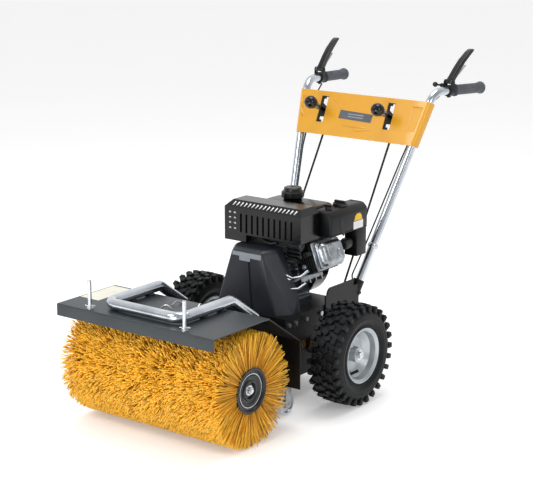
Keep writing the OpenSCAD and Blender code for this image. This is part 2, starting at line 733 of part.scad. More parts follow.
module throttle_knob() color("#101012") from_axle() translate([box_x + 30, 136, crank_z + 206.5]) {
  cylinder(r = 24, h = 8);
  translate([0, 0, 10]) cube([40, 9, 12], center = true);
}

module oil_dipstick() color("#8a6f5a") from_axle() translate([100, cyl_y - 70.5, crank_z - 28]) rotate([90, 0, 0]) {
  cylinder(r = 11, h = 12);
  for (i = [0 : 5]) rotate(i * 60) translate([10, 0, 0]) cylinder(r = 3, h = 12);
}

// ---- Drive train ----
module crankshaft() color("#a9adb0") at_engine() {
  difference() {
    union() {
      translate([0, -136, 0]) rod_y(crank_d / 2, 284);
      translate([0, 102, 0]) rod_y(88, 30);
      for (i = [0 : 15]) rotate([0, i * 22.5, 0]) translate([62, 130, 0]) cube([44, 20, 3], center = true);
    }
    translate([0, 110, 0]) rod_y(60, 40);
  }
  translate([0, 104, 0]) rod_y(62, 5);
  for (y = [brush_belt_y, disc_belt_y]) translate([0, y - pulley_w / 2, 0]) rotate([-90, 0, 0])
    pulley(engine_pulley_r, pulley_w, crank_d / 2 - 0.5);
}

module brush_pulley() color("#85898c") from_axle() translate([0, 0, worm_z]) {
  translate([0, brush_belt_y - pulley_w / 2, 0]) rotate([-90, 0, 0]) pulley(brush_pulley_r, pulley_w, 8);
  translate([0, swivel_y + 26, 0]) rod_y(10, brush_belt_y + 10 - swivel_y - 26);
  // slotted cup that the worm shaft's rollers run in
  translate([0, swivel_y - 20, 0]) difference() {
    rod_y(25, 48);
    translate([0, -1, 0]) rod_y(19, 41);
  }
}

module friction_disc() color("#9a9da0") from_axle() translate([0, 0, shaft_z]) difference() {
  union() {
    translate([0, disc_belt_y - pulley_w / 2, 0]) rotate([-90, 0, 0]) pulley(disc_pulley_r, pulley_w, 10);
    translate([0, disc_belt_y + pulley_w / 2, 0]) rod_y(friction_disc_d / 2, disc_face_y - disc_belt_y - pulley_w / 2);
  }
  translate([0, -130, 0]) rod_y(8 + run_gap, 60);
}

module friction_wheel() color("#222325") from_axle() translate([0, shaft_y, shaft_z]) difference() {
  union() {
    rod_x(friction_wheel_d / 2, 12);
    rod_x(18, 34);
  }
  rod_x(8 + run_gap, 40);
}

module drive_shaft() color("#a4a8ab") from_axle() translate([0, shaft_y, shaft_z]) {
  rod_x(8, chassis_w + 2);
  translate([gear_x - 7, 0, 0]) rotate([90, 0, 90]) linear_extrude(14)
    rotate(180 + mesh_angle + 180 / pinion_teeth) gear_shape(pinion_teeth, gear_m);
}

module axle() color("#a4a8ab") from_axle() translate([0, 0, axle_z]) {
  rod_x(axle_d / 2, track + 52);
  translate([gear_x - 5, 0, 0]) rotate([90, 0, 90]) linear_extrude(10)
    rotate(mesh_angle) gear_shape(axle_teeth, gear_m);
}

// Rim, outline in radius and distance out from the tyre's middle plane
lip_x = 50;
module rim() translate([half_track, 0, axle_z]) rotate([0, 90, 0]) {
  r = rim_d / 2;
  rotate_extrude() polygon([[r, -lip_x], [r, -lip_x + 6], [r - 8, -lip_x + 7], [r - 10, -20], [r - 10, 20],
    [r - 8, lip_x - 7], [r, lip_x - 6], [r, lip_x], [r - 3, lip_x], [r - 11, lip_x - 6], [r - 15, 26],
    [r - 34, 10], [24, 6], [24, -4], [r - 34, 4], [r - 15, 16], [r - 13, -20], [r - 11, -lip_x + 4], [r - 3, -lip_x]]);
  difference() {
    translate([0, 0, -42]) cylinder(r = 24.5, h = 76);
    translate([0, 0, -43]) cylinder(r = axle_d / 2 + 0.02, h = 70);
  }
  translate([0, 0, 34]) cylinder(r = 11, h = 5, $fn = 6);
  // valve stem
  rotate(-130) translate([r - 24, 0, 12]) cylinder(r = 4, h = 28);
}
module wheel_rims() color("#d3d6d9") from_axle() both() rim();

module tyre() translate([half_track, 0, axle_z]) rotate([0, 90, 0]) {
  r = tyre_d / 2;
  w = tyre_w / 2;
  b = rim_d / 2 - 7.9;
  rotate_extrude() polygon([[b, -42.4], [b, 42.4], [rim_d / 2 + 6, 44.5], [r - 52, w], [r - 34, w],
    [r - lug_h - 4, w - 10], [r - lug_h, w - 26], [r - lug_h, -w + 26], [r - lug_h - 4, -w + 10], [r - 34, -w],
    [r - 52, -w], [rim_d / 2 + 6, -44.5]]);
  intersection() {
    rotate_extrude() polygon([[r - 30, -w], [r - 8, -w + 1], [r, -w + 14], [r, w - 14], [r - 8, w - 1], [r - 30, w]]);
    for (i = [0 : lug_count - 1], s = [0, 1]) rotate((i + s / 2) * 360 / lug_count) mirror([0, 0, s])
      translate([r - 12, 0, w * 0.46]) rotate([24, 0, 0]) cube([30, 22, w * 1.02], center = true);
  }
}
module tyres() color("#232528") from_axle() both() tyre();

// ---- Brush head ----
module head_frame() color("#17181b") on_head() {
  plate_y = guard_y + hood_t;
  difference() {
    union() {
      box(-110, 110, plate_y, plate_y + 7, 120, kink_z - 2);
      for (z = [deck_z - plate_t - 16, 92]) translate([0, swivel_y, z]) linear_extrude(8) {
        circle(24);
        translate([-24, plate_y - swivel_y + 1]) square([48, swivel_y - plate_y]);
      }
      // straps that tie the lower ear to the plate, and the arms of the casters
      box(-24, 24, plate_y, plate_y + 7, 92, 121);
      both() box(caster_x - 16, caster_x + 16, plate_y, caster_y + 16, 100, 106);
      both() box(104, caster_x + 16, plate_y, plate_y + 7, 100, 132);
    }
    translate([0, swivel_y, 0]) cylinder(r = 12 + run_gap, h = 400);
    translate([0, plate_y - 1, worm_z]) rod_y(neck_r + 0.3, 10);
    both() translate([caster_x, caster_y, 90]) cylinder(r = 6 + run_gap, h = 30);
  }
}

neck_r = 22;
module gearbox() color("#23252a") on_head() difference() {
  union() {
    // case round the worm wheel, and the neck back to the head frame
    translate([0, brush_y, brush_z]) rod_x(54, 52);
    translate([0, brush_y - 42, worm_z]) rod_y(24, 84);
    translate([0, brush_y + 30, worm_z]) rod_y(neck_r, guard_y - brush_y - 30 + hood_t + 6);
    translate([0, guard_y - 12, worm_z]) rod_y(40, 12);
    // hanger plate up to the hood
    box(-5, 5, brush_y - 24, brush_y + 24, worm_z, hood_z - hood_t - 5);
    box(-60, 60, brush_y - 24, brush_y + 24, hood_z - hood_t - 5, hood_z - hood_t);
  }
  translate([0, brush_y, brush_z]) rod_x(42, 40);
  translate([0, brush_y, brush_z]) rod_x(10 + run_gap, 60);
  translate([0, brush_y - 36, worm_z]) rod_y(17, 60);
  translate([0, brush_y + 20, worm_z]) rod_y(8 + run_gap, 300);
  translate([0, brush_y - 30, worm_z]) rod_y(8 + run_gap, 60);
}

module worm_shaft() color("#9ea2a5") on_head() translate([0, 0, worm_z]) {
  translate([0, brush_y - 34, 0]) rod_y(8, swivel_y - brush_y + 40);
  translate([0, brush_y - 24, 0]) rod_y(13.5, 48);
  // roller head inside the drive cup
  translate([0, swivel_y - 6, 0]) rod_y(16, 12);
}

module hood() color("#4b5258") on_head() {
  w = hood_w / 2;
  difference() {
    box(-w, w, hood_y0, hood_y1, hood_z - hood_t, hood_z);
    for (s = [-1, 1]) translate([s * pin_span / 2, hood_y0 + 18, hood_z - 10]) cylinder(r = pin_d / 2 + 0.02, h = 20);
  }
  box(-w, w, hood_y0, hood_y0 + hood_t, hood_z - lip_h, hood_z - hood_t + 0.5);
}

module rear_guard() color("#151619") on_head() {
  w = hood_w / 2;
  difference() {
    translate([-w, 0, 0]) rotate([90, 0, 90]) linear_extrude(hood_w) polygon([
      [hood_y1, hood_z - hood_t], [hood_y1, hood_z], [guard_y + hood_t, kink_z], [guard_y + hood_t, guard_low],
      [guard_y, guard_low], [guard_y, kink_z - 1], [hood_y1 - 2, hood_z - hood_t - 1.5], [hood_y1 - 14, hood_z - hood_t - 3],
      [hood_y1 - 14, hood_z - hood_t]]);
    translate([0, guard_y - 1, worm_z]) rod_y(neck_r + 0.3, hood_t + 2);
  }
}

bumper_x = 140;
bumper_z = hood_z + bumper_d / 2 + 3;
bumper_y0 = hood_y0 + 48;
function guard_z_at(y) = hood_z + (kink_z - hood_z) * (y - hood_y1) / (guard_y + hood_t - hood_y1);
module bumper() color("#c9ced2") on_head() {
  pipe([[bumper_x, hood_y1 + 138, 318], [bumper_x, hood_y1 + 28, bumper_z], [bumper_x, bumper_y0, bumper_z],
    [-bumper_x, bumper_y0, bumper_z], [-bumper_x, hood_y1 + 28, bumper_z], [-bumper_x, hood_y1 + 138, 318]],
    bumper_d / 2, 34);
  // feet on the hood, and struts down to the guard
  both() for (y = [hood_y1 - 100, hood_y1 - 20]) translate([bumper_x, y, hood_z]) cylinder(r = 8, h = bumper_z - hood_z - 8);
  both() translate([bumper_x, hood_y1 + 118, guard_z_at(hood_y1 + 118) + 6]) cylinder(r = 7, h = 36);
}

module accessory_pins() color("#c4c8cc") on_head()
  for (s = [-1, 1]) translate([s * pin_span / 2, hood_y0 + 18, 0]) {
    translate([0, 0, hood_z - 12]) cylinder(r = pin_d / 2, h = pin_len + 12);
    translate([0, 0, hood_z]) cylinder(r = pin_d / 2 + 4, h = 3);
    translate([0, 0, hood_z - hood_t - 6]) cylinder(r = pin_d / 2 + 3, h = 6, $fn = 6);
  }

// ---- Support casters ----
caster_x = 200;
caster_y = guard_y + 34;
caster_r = 36;
caster_trail = 22;
module caster_fork(s) color("#cfd3d6") on_head() translate([s * caster_x, caster_y, 0]) {
  translate([0, 0, 92]) cylinder(r = 6, h = 22);
  translate([0, 0, 106.5]) cylinder(r = 10, h = 6, $fn = 6);
  box(-20, 20, -14, caster_trail + 12, 92, 95);
  both() box(17, 20, caster_trail - 14, caster_trail + 12, 26, 93);
  translate([0, caster_trail, caster_r]) rod_x(5, 44);
}
module left_caster_fork() caster_fork(1);
module right_caster_fork() caster_fork(-1);
module caster_wheel(s) color("#dfe2e4") on_head() translate([s * caster_x, caster_y + caster_trail, caster_r]) difference() {
  rotate([0, 90, 0]) rotate_extrude() polygon([[5, -14], [12, -14], [14, -9], [caster_r - 10, -9], [caster_r - 8, -14],
    [caster_r - 3, -14], [caster_r, -10], [caster_r, 10], [caster_r - 3, 14], [caster_r - 8, 14], [caster_r - 10, 9],
    [14, 9], [12, 14], [5, 14]]);
  rod_x(5 + run_gap, 40);
}
module left_caster_wheel() caster_wheel(1);
module right_caster_wheel() caster_wheel(-1);

// ---- Brush ----
module brush_core() color("#1b1c1e") on_head() translate([0, brush_y, brush_z]) {
  half = brush_len / 2;
  rod_x(10, brush_len - 12);
  // worm wheel on the shaft
  rod_x(worm_centres - 14.2, 14);
  both() translate([half, 0, 0]) rotate([0, 90, 0]) rotate_extrude() polygon([
    [9.5, -half + brush_gap / 2], [hub_d / 2 - 8, -half + brush_gap / 2], [hub_d / 2 - 8, -10], [hub_d / 2 + 1, -8],
    [hub_d / 2 + 1, -5], [hub_d / 2 - 7, -5], [hub_d / 2 - 10, -11], [34, -11], [32, -8], [24, -8], [20, -17],
    [9.5, -17], [9.5, -21], [22, -21], [25, -15], [hub_d / 2 - 11, -15], [hub_d / 2 - 11, -half + brush_gap / 2 + 4],
    [9.5, -half + brush_gap / 2 + 4]]);
  both() translate([half - 6, 0, 0]) rotate([0, 90, 0]) cylinder(r = 9, h = 4, $fn = 6);
}

module bristles() color("#eaa31c") on_head() both() translate([brush_gap / 2, brush_y, brush_z]) rotate([0, 90, 0])
  difference() {
    cylinder(r = brush_d / 2, h = (brush_len - brush_gap) / 2, $fn = 96);
    translate([0, 0, -1]) cylinder(r = hub_d / 2 - 7.7, h = brush_len);
    translate([0, 0, (brush_len - brush_gap) / 2 - 10.3]) cylinder(r = hub_d / 2 + 1.3, h = 20);
  }

chassis_box();
engine_deck();
bottom_cover();
deck_bolts();
axle_bushes();
swivel_pins();
belt_cover();
crankcase();
cylinder_block();  // cylinder
rocker_cover();
fan_housing();
recoil_cover();
muffler();
muffler_guard();
fuel_tank();
heater_box();
carburettor();
spark_plug();
drive_belts();
handle_brackets();
left_handle_tube();
right_handle_tube();
control_panel();
panel_frame();
grips();
lever_mounts();
clutch_cables();
starter_grip();
fuel_cap();
choke_knob();
throttle_knob();
oil_dipstick();
left_clutch_lever();
right_clutch_lever();
lock_knob();
speed_lever();
swivel_lever();
speed_rod();
swivel_rod();
crankshaft();
brush_pulley();
friction_disc();
friction_wheel();
drive_shaft();
axle();
wheel_rims();
tyres();
head_frame();
gearbox();
hood();
rear_guard();
bumper();
accessory_pins();
left_caster_fork();
right_caster_fork();
left_caster_wheel();
right_caster_wheel();
worm_shaft();
brush_core();
bristles();
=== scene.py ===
import random
from math import atan2, cos, pi, radians, sin

import bmesh
import bpy
from mathutils import Matrix, Vector, noise


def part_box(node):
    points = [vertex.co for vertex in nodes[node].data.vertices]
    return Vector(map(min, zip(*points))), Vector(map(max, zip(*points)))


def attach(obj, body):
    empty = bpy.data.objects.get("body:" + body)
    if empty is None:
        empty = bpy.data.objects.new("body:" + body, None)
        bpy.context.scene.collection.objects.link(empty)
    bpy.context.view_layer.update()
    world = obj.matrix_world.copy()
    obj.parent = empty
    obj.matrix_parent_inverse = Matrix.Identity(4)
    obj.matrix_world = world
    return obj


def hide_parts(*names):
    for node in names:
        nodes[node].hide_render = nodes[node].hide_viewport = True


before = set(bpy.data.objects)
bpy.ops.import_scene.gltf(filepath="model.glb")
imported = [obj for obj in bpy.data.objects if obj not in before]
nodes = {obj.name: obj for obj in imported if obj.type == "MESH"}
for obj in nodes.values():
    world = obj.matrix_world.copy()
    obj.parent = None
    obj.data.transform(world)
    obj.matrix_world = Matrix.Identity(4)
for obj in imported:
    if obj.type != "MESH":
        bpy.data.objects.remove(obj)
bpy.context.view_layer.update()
random.seed(12)
print("frame loaded:", len(nodes), "CAD nodes")

# Shapes are drawn in millimetres from the point on the ground under the axle.
millimetre = 0.001
axleLow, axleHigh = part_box("axle")
axleY = (axleLow.y + axleHigh.y) / 2 / millimetre
axleZ = (axleLow.z + axleHigh.z) / 2 / millimetre
toRow = Matrix.Scale(millimetre, 4) @ Matrix.Translation((0, axleY, 0))


def place(x, y, z):
    return Matrix.Translation((x, y, z))


def turn(degreesTurned, axis):
    return Matrix.Rotation(radians(degreesTurned), 4, axis)


def aim(start, end):
    start, end = Vector(start), Vector(end)
    return Matrix.Translation(start) @ (end - start).to_track_quat("Z", "Y").to_matrix().to_4x4()


sideToSide = turn(90, "Y")  # turns a piece drawn along Z to lie along X
mirrorX = Matrix.Scale(-1, 4, (1, 0, 0))
# an outline's X and Y become Y and Z, and its thickness runs along X
drawnAcross = Matrix(((0, 0, 1, 0), (1, 0, 0, 0), (0, 1, 0, 0), (0, 0, 0, 1)))


def linear(hexCode):
    # a colour as it is picked on screen, turned into the linear one that shaders use
    channels = [int(hexCode[i:i + 2], 16) / 255 for i in (1, 3, 5)]
    return [c / 12.92 if c <= 0.04045 else ((c + 0.055) / 1.055) ** 2.4 for c in channels] + [1]


def addNode(tree, kind, settings=(), links=()):
    node = tree.nodes.new("ShaderNode" + kind)
    for key, value in dict(settings).items():
        if key in node.inputs.keys():
            node.inputs[key].default_value = value
        else:
            setattr(node, key, value)
    for key, socket in dict(links).items():
        tree.links.new(socket, node.inputs[key])
    return node


def newMaterial(name, **shader):
    material = bpy.data.materials.new(name)
    material.use_nodes = True
    tree = material.node_tree
    surface = tree.nodes["Principled BSDF"]
    for key, value in shader.items():
        surface.inputs[key].default_value = value
    return material, tree, surface


def noiseOn(tree, coords, sizeMm, detail, stretch=None):
    if stretch:
        coords = addNode(tree, "Mapping", {"Scale": stretch}, {"Vector": coords}).outputs[0]
    pattern = addNode(tree, "TexNoise", {"Scale": 1000 / sizeMm, "Detail": detail}, {"Vector": coords})
    return pattern.outputs["Fac"]


def finishOf(name, low, high, rough, metallic=0.0, patchMm=60, grainMm=2, bumpMm=0.1, spread=0.08,
             stretch=None, **shader):
    # two close colours in soft patches, with a finer grain in the roughness and the bump
    material, tree, surface = newMaterial(name, Metallic=metallic, **shader)
    coords = addNode(tree, "TexCoord").outputs["Object"]
    patches = noiseOn(tree, coords, patchMm, 4)
    grain = noiseOn(tree, coords, grainMm, 2, stretch)
    blend = addNode(tree, "MapRange", {"From Min": 0.3, "From Max": 0.7}, {"Value": patches})
    colour = addNode(tree, "Mix", {"data_type": "RGBA"}, {"Factor": blend.outputs[0]})
    colour.inputs[6].default_value = linear(low)
    colour.inputs[7].default_value = linear(high)
    tree.links.new(colour.outputs[2], surface.inputs["Base Color"])
    roughness = addNode(tree, "MapRange", {"To Min": rough - spread, "To Max": rough + spread},
                        {"Value": grain})
    tree.links.new(roughness.outputs[0], surface.inputs["Roughness"])
    bump = addNode(tree, "Bump", {"Strength": 1.0, "Distance": bumpMm * millimetre}, {"Height": grain})
    tree.links.new(bump.outputs[0], surface.inputs["Normal"])
    return material


# powder coat is baked on as dust, so it has a fine orange peel and soft highlights
blackPowderCoat = finishOf("blackPowderCoat", "#08090a", "#0e0f11", 0.42, grainMm=2.2, bumpMm=0.16,
                           **{"Specular IOR Level": 0.28})
headPowderCoat = finishOf("headPowderCoat", "#08090a", "#0e0f10", 0.46, grainMm=2.2, bumpMm=0.16,
                          **{"Specular IOR Level": 0.28})
# sprayed enamel on pressed sheet is smooth and glossy, with a slow ripple
glossBlackEnamel = finishOf("glossBlackEnamel", "#030304", "#07080a", 0.17, grainMm=9, bumpMm=0.1,
                            spread=0.04, **{"Specular IOR Level": 0.4})
tankEnamel = finishOf("tankEnamel", "#080605", "#0e0b09", 0.18, grainMm=9, bumpMm=0.1, spread=0.04,
                      **{"Specular IOR Level": 0.12})
# injection moulded ABS has a spark eroded grain and a broad, dull highlight
charcoalMoulding = finishOf("charcoalMoulding", "#1b1d24", "#22252e", 0.4, grainMm=1.6, bumpMm=0.14)
# a slightly darker matt black for the heater box opening: painted shade of its inside
grooveRubber = finishOf("grooveRubber", "#08090b", "#0d0e10", 0.6)
boxMoulding = finishOf("boxMoulding", "#090a0b", "#101114", 0.4, grainMm=1.6, bumpMm=0.14,
                       **{"Specular IOR Level": 0.28})
blackMoulding = finishOf("blackMoulding", "#08090a", "#0f1012", 0.34, grainMm=1.6, bumpMm=0.1)
glossMoulding = finishOf("glossMoulding", "#050505", "#0a0a0b", 0.14, grainMm=12, bumpMm=0.06, spread=0.03)
# pressure die casting is bright, a little grainy and slightly blotched
castAlloy = finishOf("castAlloy", "#8b9095", "#b8bdc2", 0.3, 1.0, patchMm=24, grainMm=1.4, bumpMm=0.18)
# the fins are cast iron under heat resistant paint, which stays dull
heatPaint = finishOf("heatPaint", "#08090a", "#121315", 0.5, grainMm=1.4, bumpMm=0.2)
dulledSteel = finishOf("dulledSteel", "#6b665f", "#8d867c", 0.5, 0.9, patchMm=30, grainMm=3, bumpMm=0.1)
# satin chrome on drawn tube shows soft, slightly streaked reflections
satinChrome = finishOf("satinChrome", "#b9c0c8", "#d8dde3", 0.2, 1.0, patchMm=90, grainMm=4, bumpMm=0.03,
                       spread=0.06, stretch=(1, 1, 0.2))
# bright zinc plate is paler and cloudier than chrome
zincPlate = finishOf("zincPlate", "#b9bdc2", "#dadde0", 0.3, 1.0, patchMm=12, grainMm=2, bumpMm=0.05)
machinedSteel = finishOf("machinedSteel", "#8f9397", "#b3b7ba", 0.32, 1.0, patchMm=20, grainMm=1.2,
                         bumpMm=0.06)
castIron = finishOf("castIron", "#55575a", "#6e7073", 0.5, 0.9, patchMm=20, grainMm=1.5, bumpMm=0.15)
sinteredBronze = finishOf("sinteredBronze", "#8a6634", "#b08646", 0.4, 1.0, grainMm=1, bumpMm=0.1)
# amber enamel over pressed sheet: saturated, glossy, with a faint orange peel
amberEnamel = finishOf("amberEnamel", "#d8981c", "#e0a42a", 0.3, patchMm=180, grainMm=7, bumpMm=0.09,
                       spread=0.05, **{"Coat Weight": 0.35, "Coat Roughness": 0.12})
slateEnamel = finishOf("slateEnamel", "#242a2e", "#2e363a", 0.36, patchMm=150, grainMm=5, bumpMm=0.1,
                       spread=0.06)
silverPaint = finishOf("silverPaint", "#a4aaae", "#bdc2c5", 0.34, 0.75, patchMm=70, grainMm=3, bumpMm=0.06)
# soft nitrile on the grips is matt with fine pits
nitrileFoam = finishOf("nitrileFoam", "#43464c", "#54575e", 0.72, patchMm=25, grainMm=1.5, bumpMm=0.25)
# tyre rubber is charcoal grey, dusty on the sidewall and scuffed where it meets the ground
tyreRubber = finishOf("tyreRubber", "#07080a", "#111316", 0.5, patchMm=35, grainMm=2, bumpMm=0.25,
                      **{"Specular IOR Level": 0.25})
beltRubber = finishOf("beltRubber", "#08090a", "#101112", 0.6, grainMm=1.5, bumpMm=0.1)
# printed vinyl lies flat with a soft sheen
greyVinyl = finishOf("greyVinyl", "#8b9198", "#999fa5", 0.35, grainMm=8, bumpMm=0.03)
slateVinyl = finishOf("slateVinyl", "#4d5257", "#5a6065", 0.3, grainMm=8, bumpMm=0.03)
creamVinyl = finishOf("creamVinyl", "#d8d6c4", "#e6e4d6", 0.42, patchMm=40, grainMm=8, bumpMm=0.03)
whiteVinyl = finishOf("whiteVinyl", "#dcdedd", "#ecedec", 0.35, grainMm=8, bumpMm=0.03)
# near-white chalky paint for the plates behind the muffler guard slots: painted light seen through the slots
ceramicCoat = finishOf("ceramicCoat", "#e4e6e8", "#f6f7f7", 0.5, grainMm=2, bumpMm=0.05)
yellowVinyl = finishOf("yellowVinyl", "#e0b400", "#f0c512", 0.35, grainMm=8, bumpMm=0.03)


def bristleFinish():
    # extruded polypropylene, waxy: darker towards the root, which is painted shade deep between the packed
    # strands, and paler at the cut tips
    material, tree, surface = newMaterial("polypropyleneStrand", Roughness=0.42, IOR=1.49)
    run = addNode(tree, "Attribute", {"attribute_name": "strandRun"}).outputs["Fac"]
    tone = addNode(tree, "Attribute", {"attribute_name": "strandGapShade"}).outputs["Fac"]
    # the ramp along each strand darkens the roots as painted shade
    ramp = addNode(tree, "ValToRGB", (), {"Fac": run})
    stops = ramp.color_ramp.elements
    stops[0].color, stops[1].color = linear("#cf8f16"), linear("#ffc336")
    stops[1].position = 0.6
    stops.new(0.25).color = linear("#f2ad22")
    # strands with a low draw are darkened: painted shade standing in for the dark gaps between strands
    shade = addNode(tree, "MapRange", {"From Max": 0.3, "To Min": 0.38, "To Max": 1.0}, {"Value": tone})
    mixed = addNode(tree, "Mix", {"data_type": "RGBA", "blend_type": "MULTIPLY"})
    mixed.inputs[0].default_value = 1
    tree.links.new(ramp.outputs[0], mixed.inputs[6])
    tree.links.new(shade.outputs[0], mixed.inputs[7])
    tree.links.new(mixed.outputs[2], surface.inputs["Base Color"])
    return material


polypropylene = bristleFinish()
print("finishes ready")


def addPiece(name, bm, body, material, smoothAngle=32, replaced=()):
    # closes the mesh, carries it from millimetres to the row and tells the frame what it rides on
    bmesh.ops.remove_doubles(bm, verts=bm.verts, dist=0.002)
    bmesh.ops.recalc_face_normals(bm, faces=bm.faces)
    for face in bm.faces:
        face.smooth = True
    for edge in bm.edges:
        edge.smooth = len(edge.link_faces) == 2 and edge.calc_face_angle(0) < radians(smoothAngle)
    bmesh.ops.transform(bm, matrix=toRow, verts=bm.verts)
    mesh = bpy.data.meshes.new(name)
    bm.to_mesh(mesh)
    bm.free()
    mesh.materials.append(material)
    piece = bpy.data.objects.new(name, mesh)
    bpy.context.scene.collection.objects.link(piece)
    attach(piece, body)
    if replaced:
        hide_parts(*replaced)
    return piece


def mirrored(bm):
    # adds the same shape on the other side of the machine
    copied = bmesh.ops.duplicate(bm, geom=bm.verts[:] + bm.edges[:] + bm.faces[:])["geom"]
    bmesh.ops.transform(bm, matrix=mirrorX, verts=vertsOf(copied))
    bmesh.ops.reverse_faces(bm, faces=[g for g in copied if isinstance(g, bmesh.types.BMFace)])


def edgesAmong(verts):
    # the edges that have both their ends in the given vertices
    return [e for e in {e for v in verts for e in v.link_edges} if all(v in verts for v in e.verts)]


def drawnOut(bm, edges):
    # extrudes edges and gives back the new vertices and the new edges, still to be moved
    grown = bmesh.ops.extrude_edge_only(bm, edges=edges)["geom"]
    made = vertsOf(grown)
    return made, [g for g in grown if isinstance(g, bmesh.types.BMEdge) and all(v in made for v in g.verts)]


def wrapVerts(bm, flatWithin):
    # a tight skin round loose vertices, with its flat faces joined up
    hull = bmesh.ops.convex_hull(bm, input=bm.verts)
    bmesh.ops.delete(bm, geom=list(set(hull["geom_interior"] + hull["geom_unused"])), context="VERTS")
    bmesh.ops.dissolve_limit(bm, angle_limit=radians(flatWithin), verts=bm.verts, edges=bm.edges)


def edgesLevelWith(bm, z):
    return [e for e in bm.edges if all(abs(v.co.z - z) < 0.1 for v in e.verts)]


def vertsOf(geometry):
    return [g for g in geometry if isinstance(g, bmesh.types.BMVert)]


def bevelled(bm, edges, width, segments=2):
    bmesh.ops.bevel(bm, geom=edges, offset=width, affect="EDGES", segments=segments, profile=0.5, material=-1,
                    clamp_overlap=True)


def block(bm, x0, x1, y0, y1, z0, z1, matrix=Matrix(), soft=0.0, segments=2):
    size = Matrix.Diagonal((x1 - x0, y1 - y0, z1 - z0, 1))
    middle = place((x0 + x1) / 2, (y0 + y1) / 2, (z0 + z1) / 2)
    verts = bmesh.ops.create_cube(bm, size=1, matrix=matrix @ middle @ size)["verts"]
    if soft:
        bevelled(bm, list({e for v in verts for e in v.link_edges}), soft, segments)


def turned(bm, profile, matrix=Matrix(), steps=48):
    # profile points are radius and height; the shape is turned about its own Z
    verts = [bm.verts.new(matrix @ Vector((r, 0, z))) for r, z in profile]
    edges = [bm.edges.new(pair) for pair in zip(verts, verts[1:])]
    origin = matrix @ Vector((0, 0, 0))
    axis = (matrix @ Vector((0, 0, 1)) - origin).normalized()
    bmesh.ops.spin(bm, geom=verts + edges, cent=origin, axis=axis, angle=2 * pi, steps=steps, use_merge=True,
                   use_duplicate=False)


def plate(bm, outline, thickness, matrix=Matrix(), soft=0.0, segments=2):
    # a flat outline in the matrix's XY plane, made thick along its Z
    face = bm.faces.new([bm.verts.new(matrix @ Vector((x, y, 0))) for x, y in outline])
    up = (matrix.to_3x3() @ Vector((0, 0, 1))).normalized() * thickness
    grown = bmesh.ops.extrude_face_region(bm, geom=[face])["geom"]
    moved = vertsOf(grown)
    bmesh.ops.translate(bm, vec=up, verts=moved)
    if soft:
        bevelled(bm, edgesAmong(moved), soft, segments)


def hexBolt(bm, matrix, across, height, washer=True):
    # the head stands on its washer and is left at a random turn, as a spanner leaves it
    washerThick, washerRadius = 1.2, across * 0.85
    corner = across / 2 / cos(pi / 6)
    if washer:
        turned(bm, [(0, 0), (washerRadius, 0), (washerRadius, washerThick), (0, washerThick)], matrix, 24)
    head = matrix @ place(0, 0, washerThick + height / 2) @ turn(random.uniform(0, 60), "Z")
    verts = bmesh.ops.create_cone(bm, cap_ends=True, segments=6, radius1=corner, radius2=corner,
                                  depth=height, matrix=head)["verts"]
    bevelled(bm, list({e for v in verts for e in v.link_edges}), 0.8, 1)


def wire(bm, points, radius, steps=10):
    # a bent wire: rings set across the route and bridged
    points = [Vector(p) for p in points]
    previous = None
    for i, point in enumerate(points):
        ahead = points[min(i + 1, len(points) - 1)] - points[max(i - 1, 0)]
        facingAhead = ahead.to_track_quat("Z", "Y").to_matrix().to_4x4()
        ring = bmesh.ops.create_circle(bm, cap_ends=i in (0, len(points) - 1), segments=steps, radius=radius,
                                       matrix=Matrix.Translation(point) @ facingAhead)["verts"]
        edges = edgesAmong(ring)
        if previous:
            bmesh.ops.bridge_loops(bm, edges=previous + edges)
        previous = edges


def arcPoints(centre, radius, first, last, count):
    # points along a level arc, from the first angle to the last
    points = []
    for i in range(count + 1):
        angle = radians(first + (last - first) * i / count)
        points.append(Vector(centre) + Vector((radius * cos(angle), radius * sin(angle), 0)))
    return points


brush = {"centreY": -496, "centreZ": 175, "radius": 174.6, "root": 62, "halfLength": 300, "endGap": 10,
         "wafers": 66, "strandsPerWafer": 400, "strand": 1.5, "variants": 5, "pieces": 4, "lean": 3,
         "tipSpread": 4, "trim": 8, "flow": 28, "clump": 2.5, "flare": 6}
brushCentre = place(0, brush["centreY"], brush["centreZ"])


def addStrand(bm, angle, x, layers):
    # one slightly crimped strand, made from a triangle drawn out along its run
    reach = brush["radius"] - random.random() ** 2 * brush["trim"]
    lean = random.gauss(0, brush["lean"])
    drift = random.gauss(0, brush["tipSpread"])
    wave, waveStart = random.uniform(0.1, 0.45), random.uniform(0, 6)
    # tone picks which strands get the painted gap shade
    tone, twist = random.random(), random.uniform(0, 2)
    stages = 4
    edges = None
    for stage in range(stages + 1):
        t = stage / stages
        r = brush["root"] + (reach - brush["root"]) * t
        a = angle + radians(lean * t * t)
        crimp = wave * sin(waveStart + stage * 2.4)
        at = Vector((x + drift * t ** 1.5 + crimp, cos(a) * r, sin(a) * r))
        along = Vector((drift * 0.01, cos(a), sin(a))).normalized()
        sideways = along.orthogonal().normalized()
        across = along.cross(sideways)
        width = brush["strand"] * (0.62 + 0.38 * t)
        turns = [twist + k * 2 * pi / 3 for k in range(3)]
        corners = [at + (sideways * cos(b) + across * sin(b)) * width for b in turns]
        if edges is None:
            made = [bm.verts.new(c) for c in corners]
            edges = [bm.edges.new((made[k], made[(k + 1) % 3])) for k in range(3)]
        else:
            made, edges = drawnOut(bm, edges)
            for k, v in enumerate(made):
                v.co = corners[k]
        for v in made:
            v[layers[0]], v[layers[1]] = t, tone
    bm.faces.new(made)


def makeWafer(count):
    # one ring of strands, as they are clamped round the core
    bm = bmesh.new()
    # the second layer carries the draw for the painted gap shade between strands
    layers = bm.verts.layers.float.new("strandRun"), bm.verts.layers.float.new("strandGapShade")
    for i in range(count):
        addStrand(bm, 2 * pi * (i + random.random()) / count, random.uniform(-5, 5), layers)
    mesh = bpy.data.meshes.new("wafer")
    bm.to_mesh(mesh)
    bm.free()
    return mesh


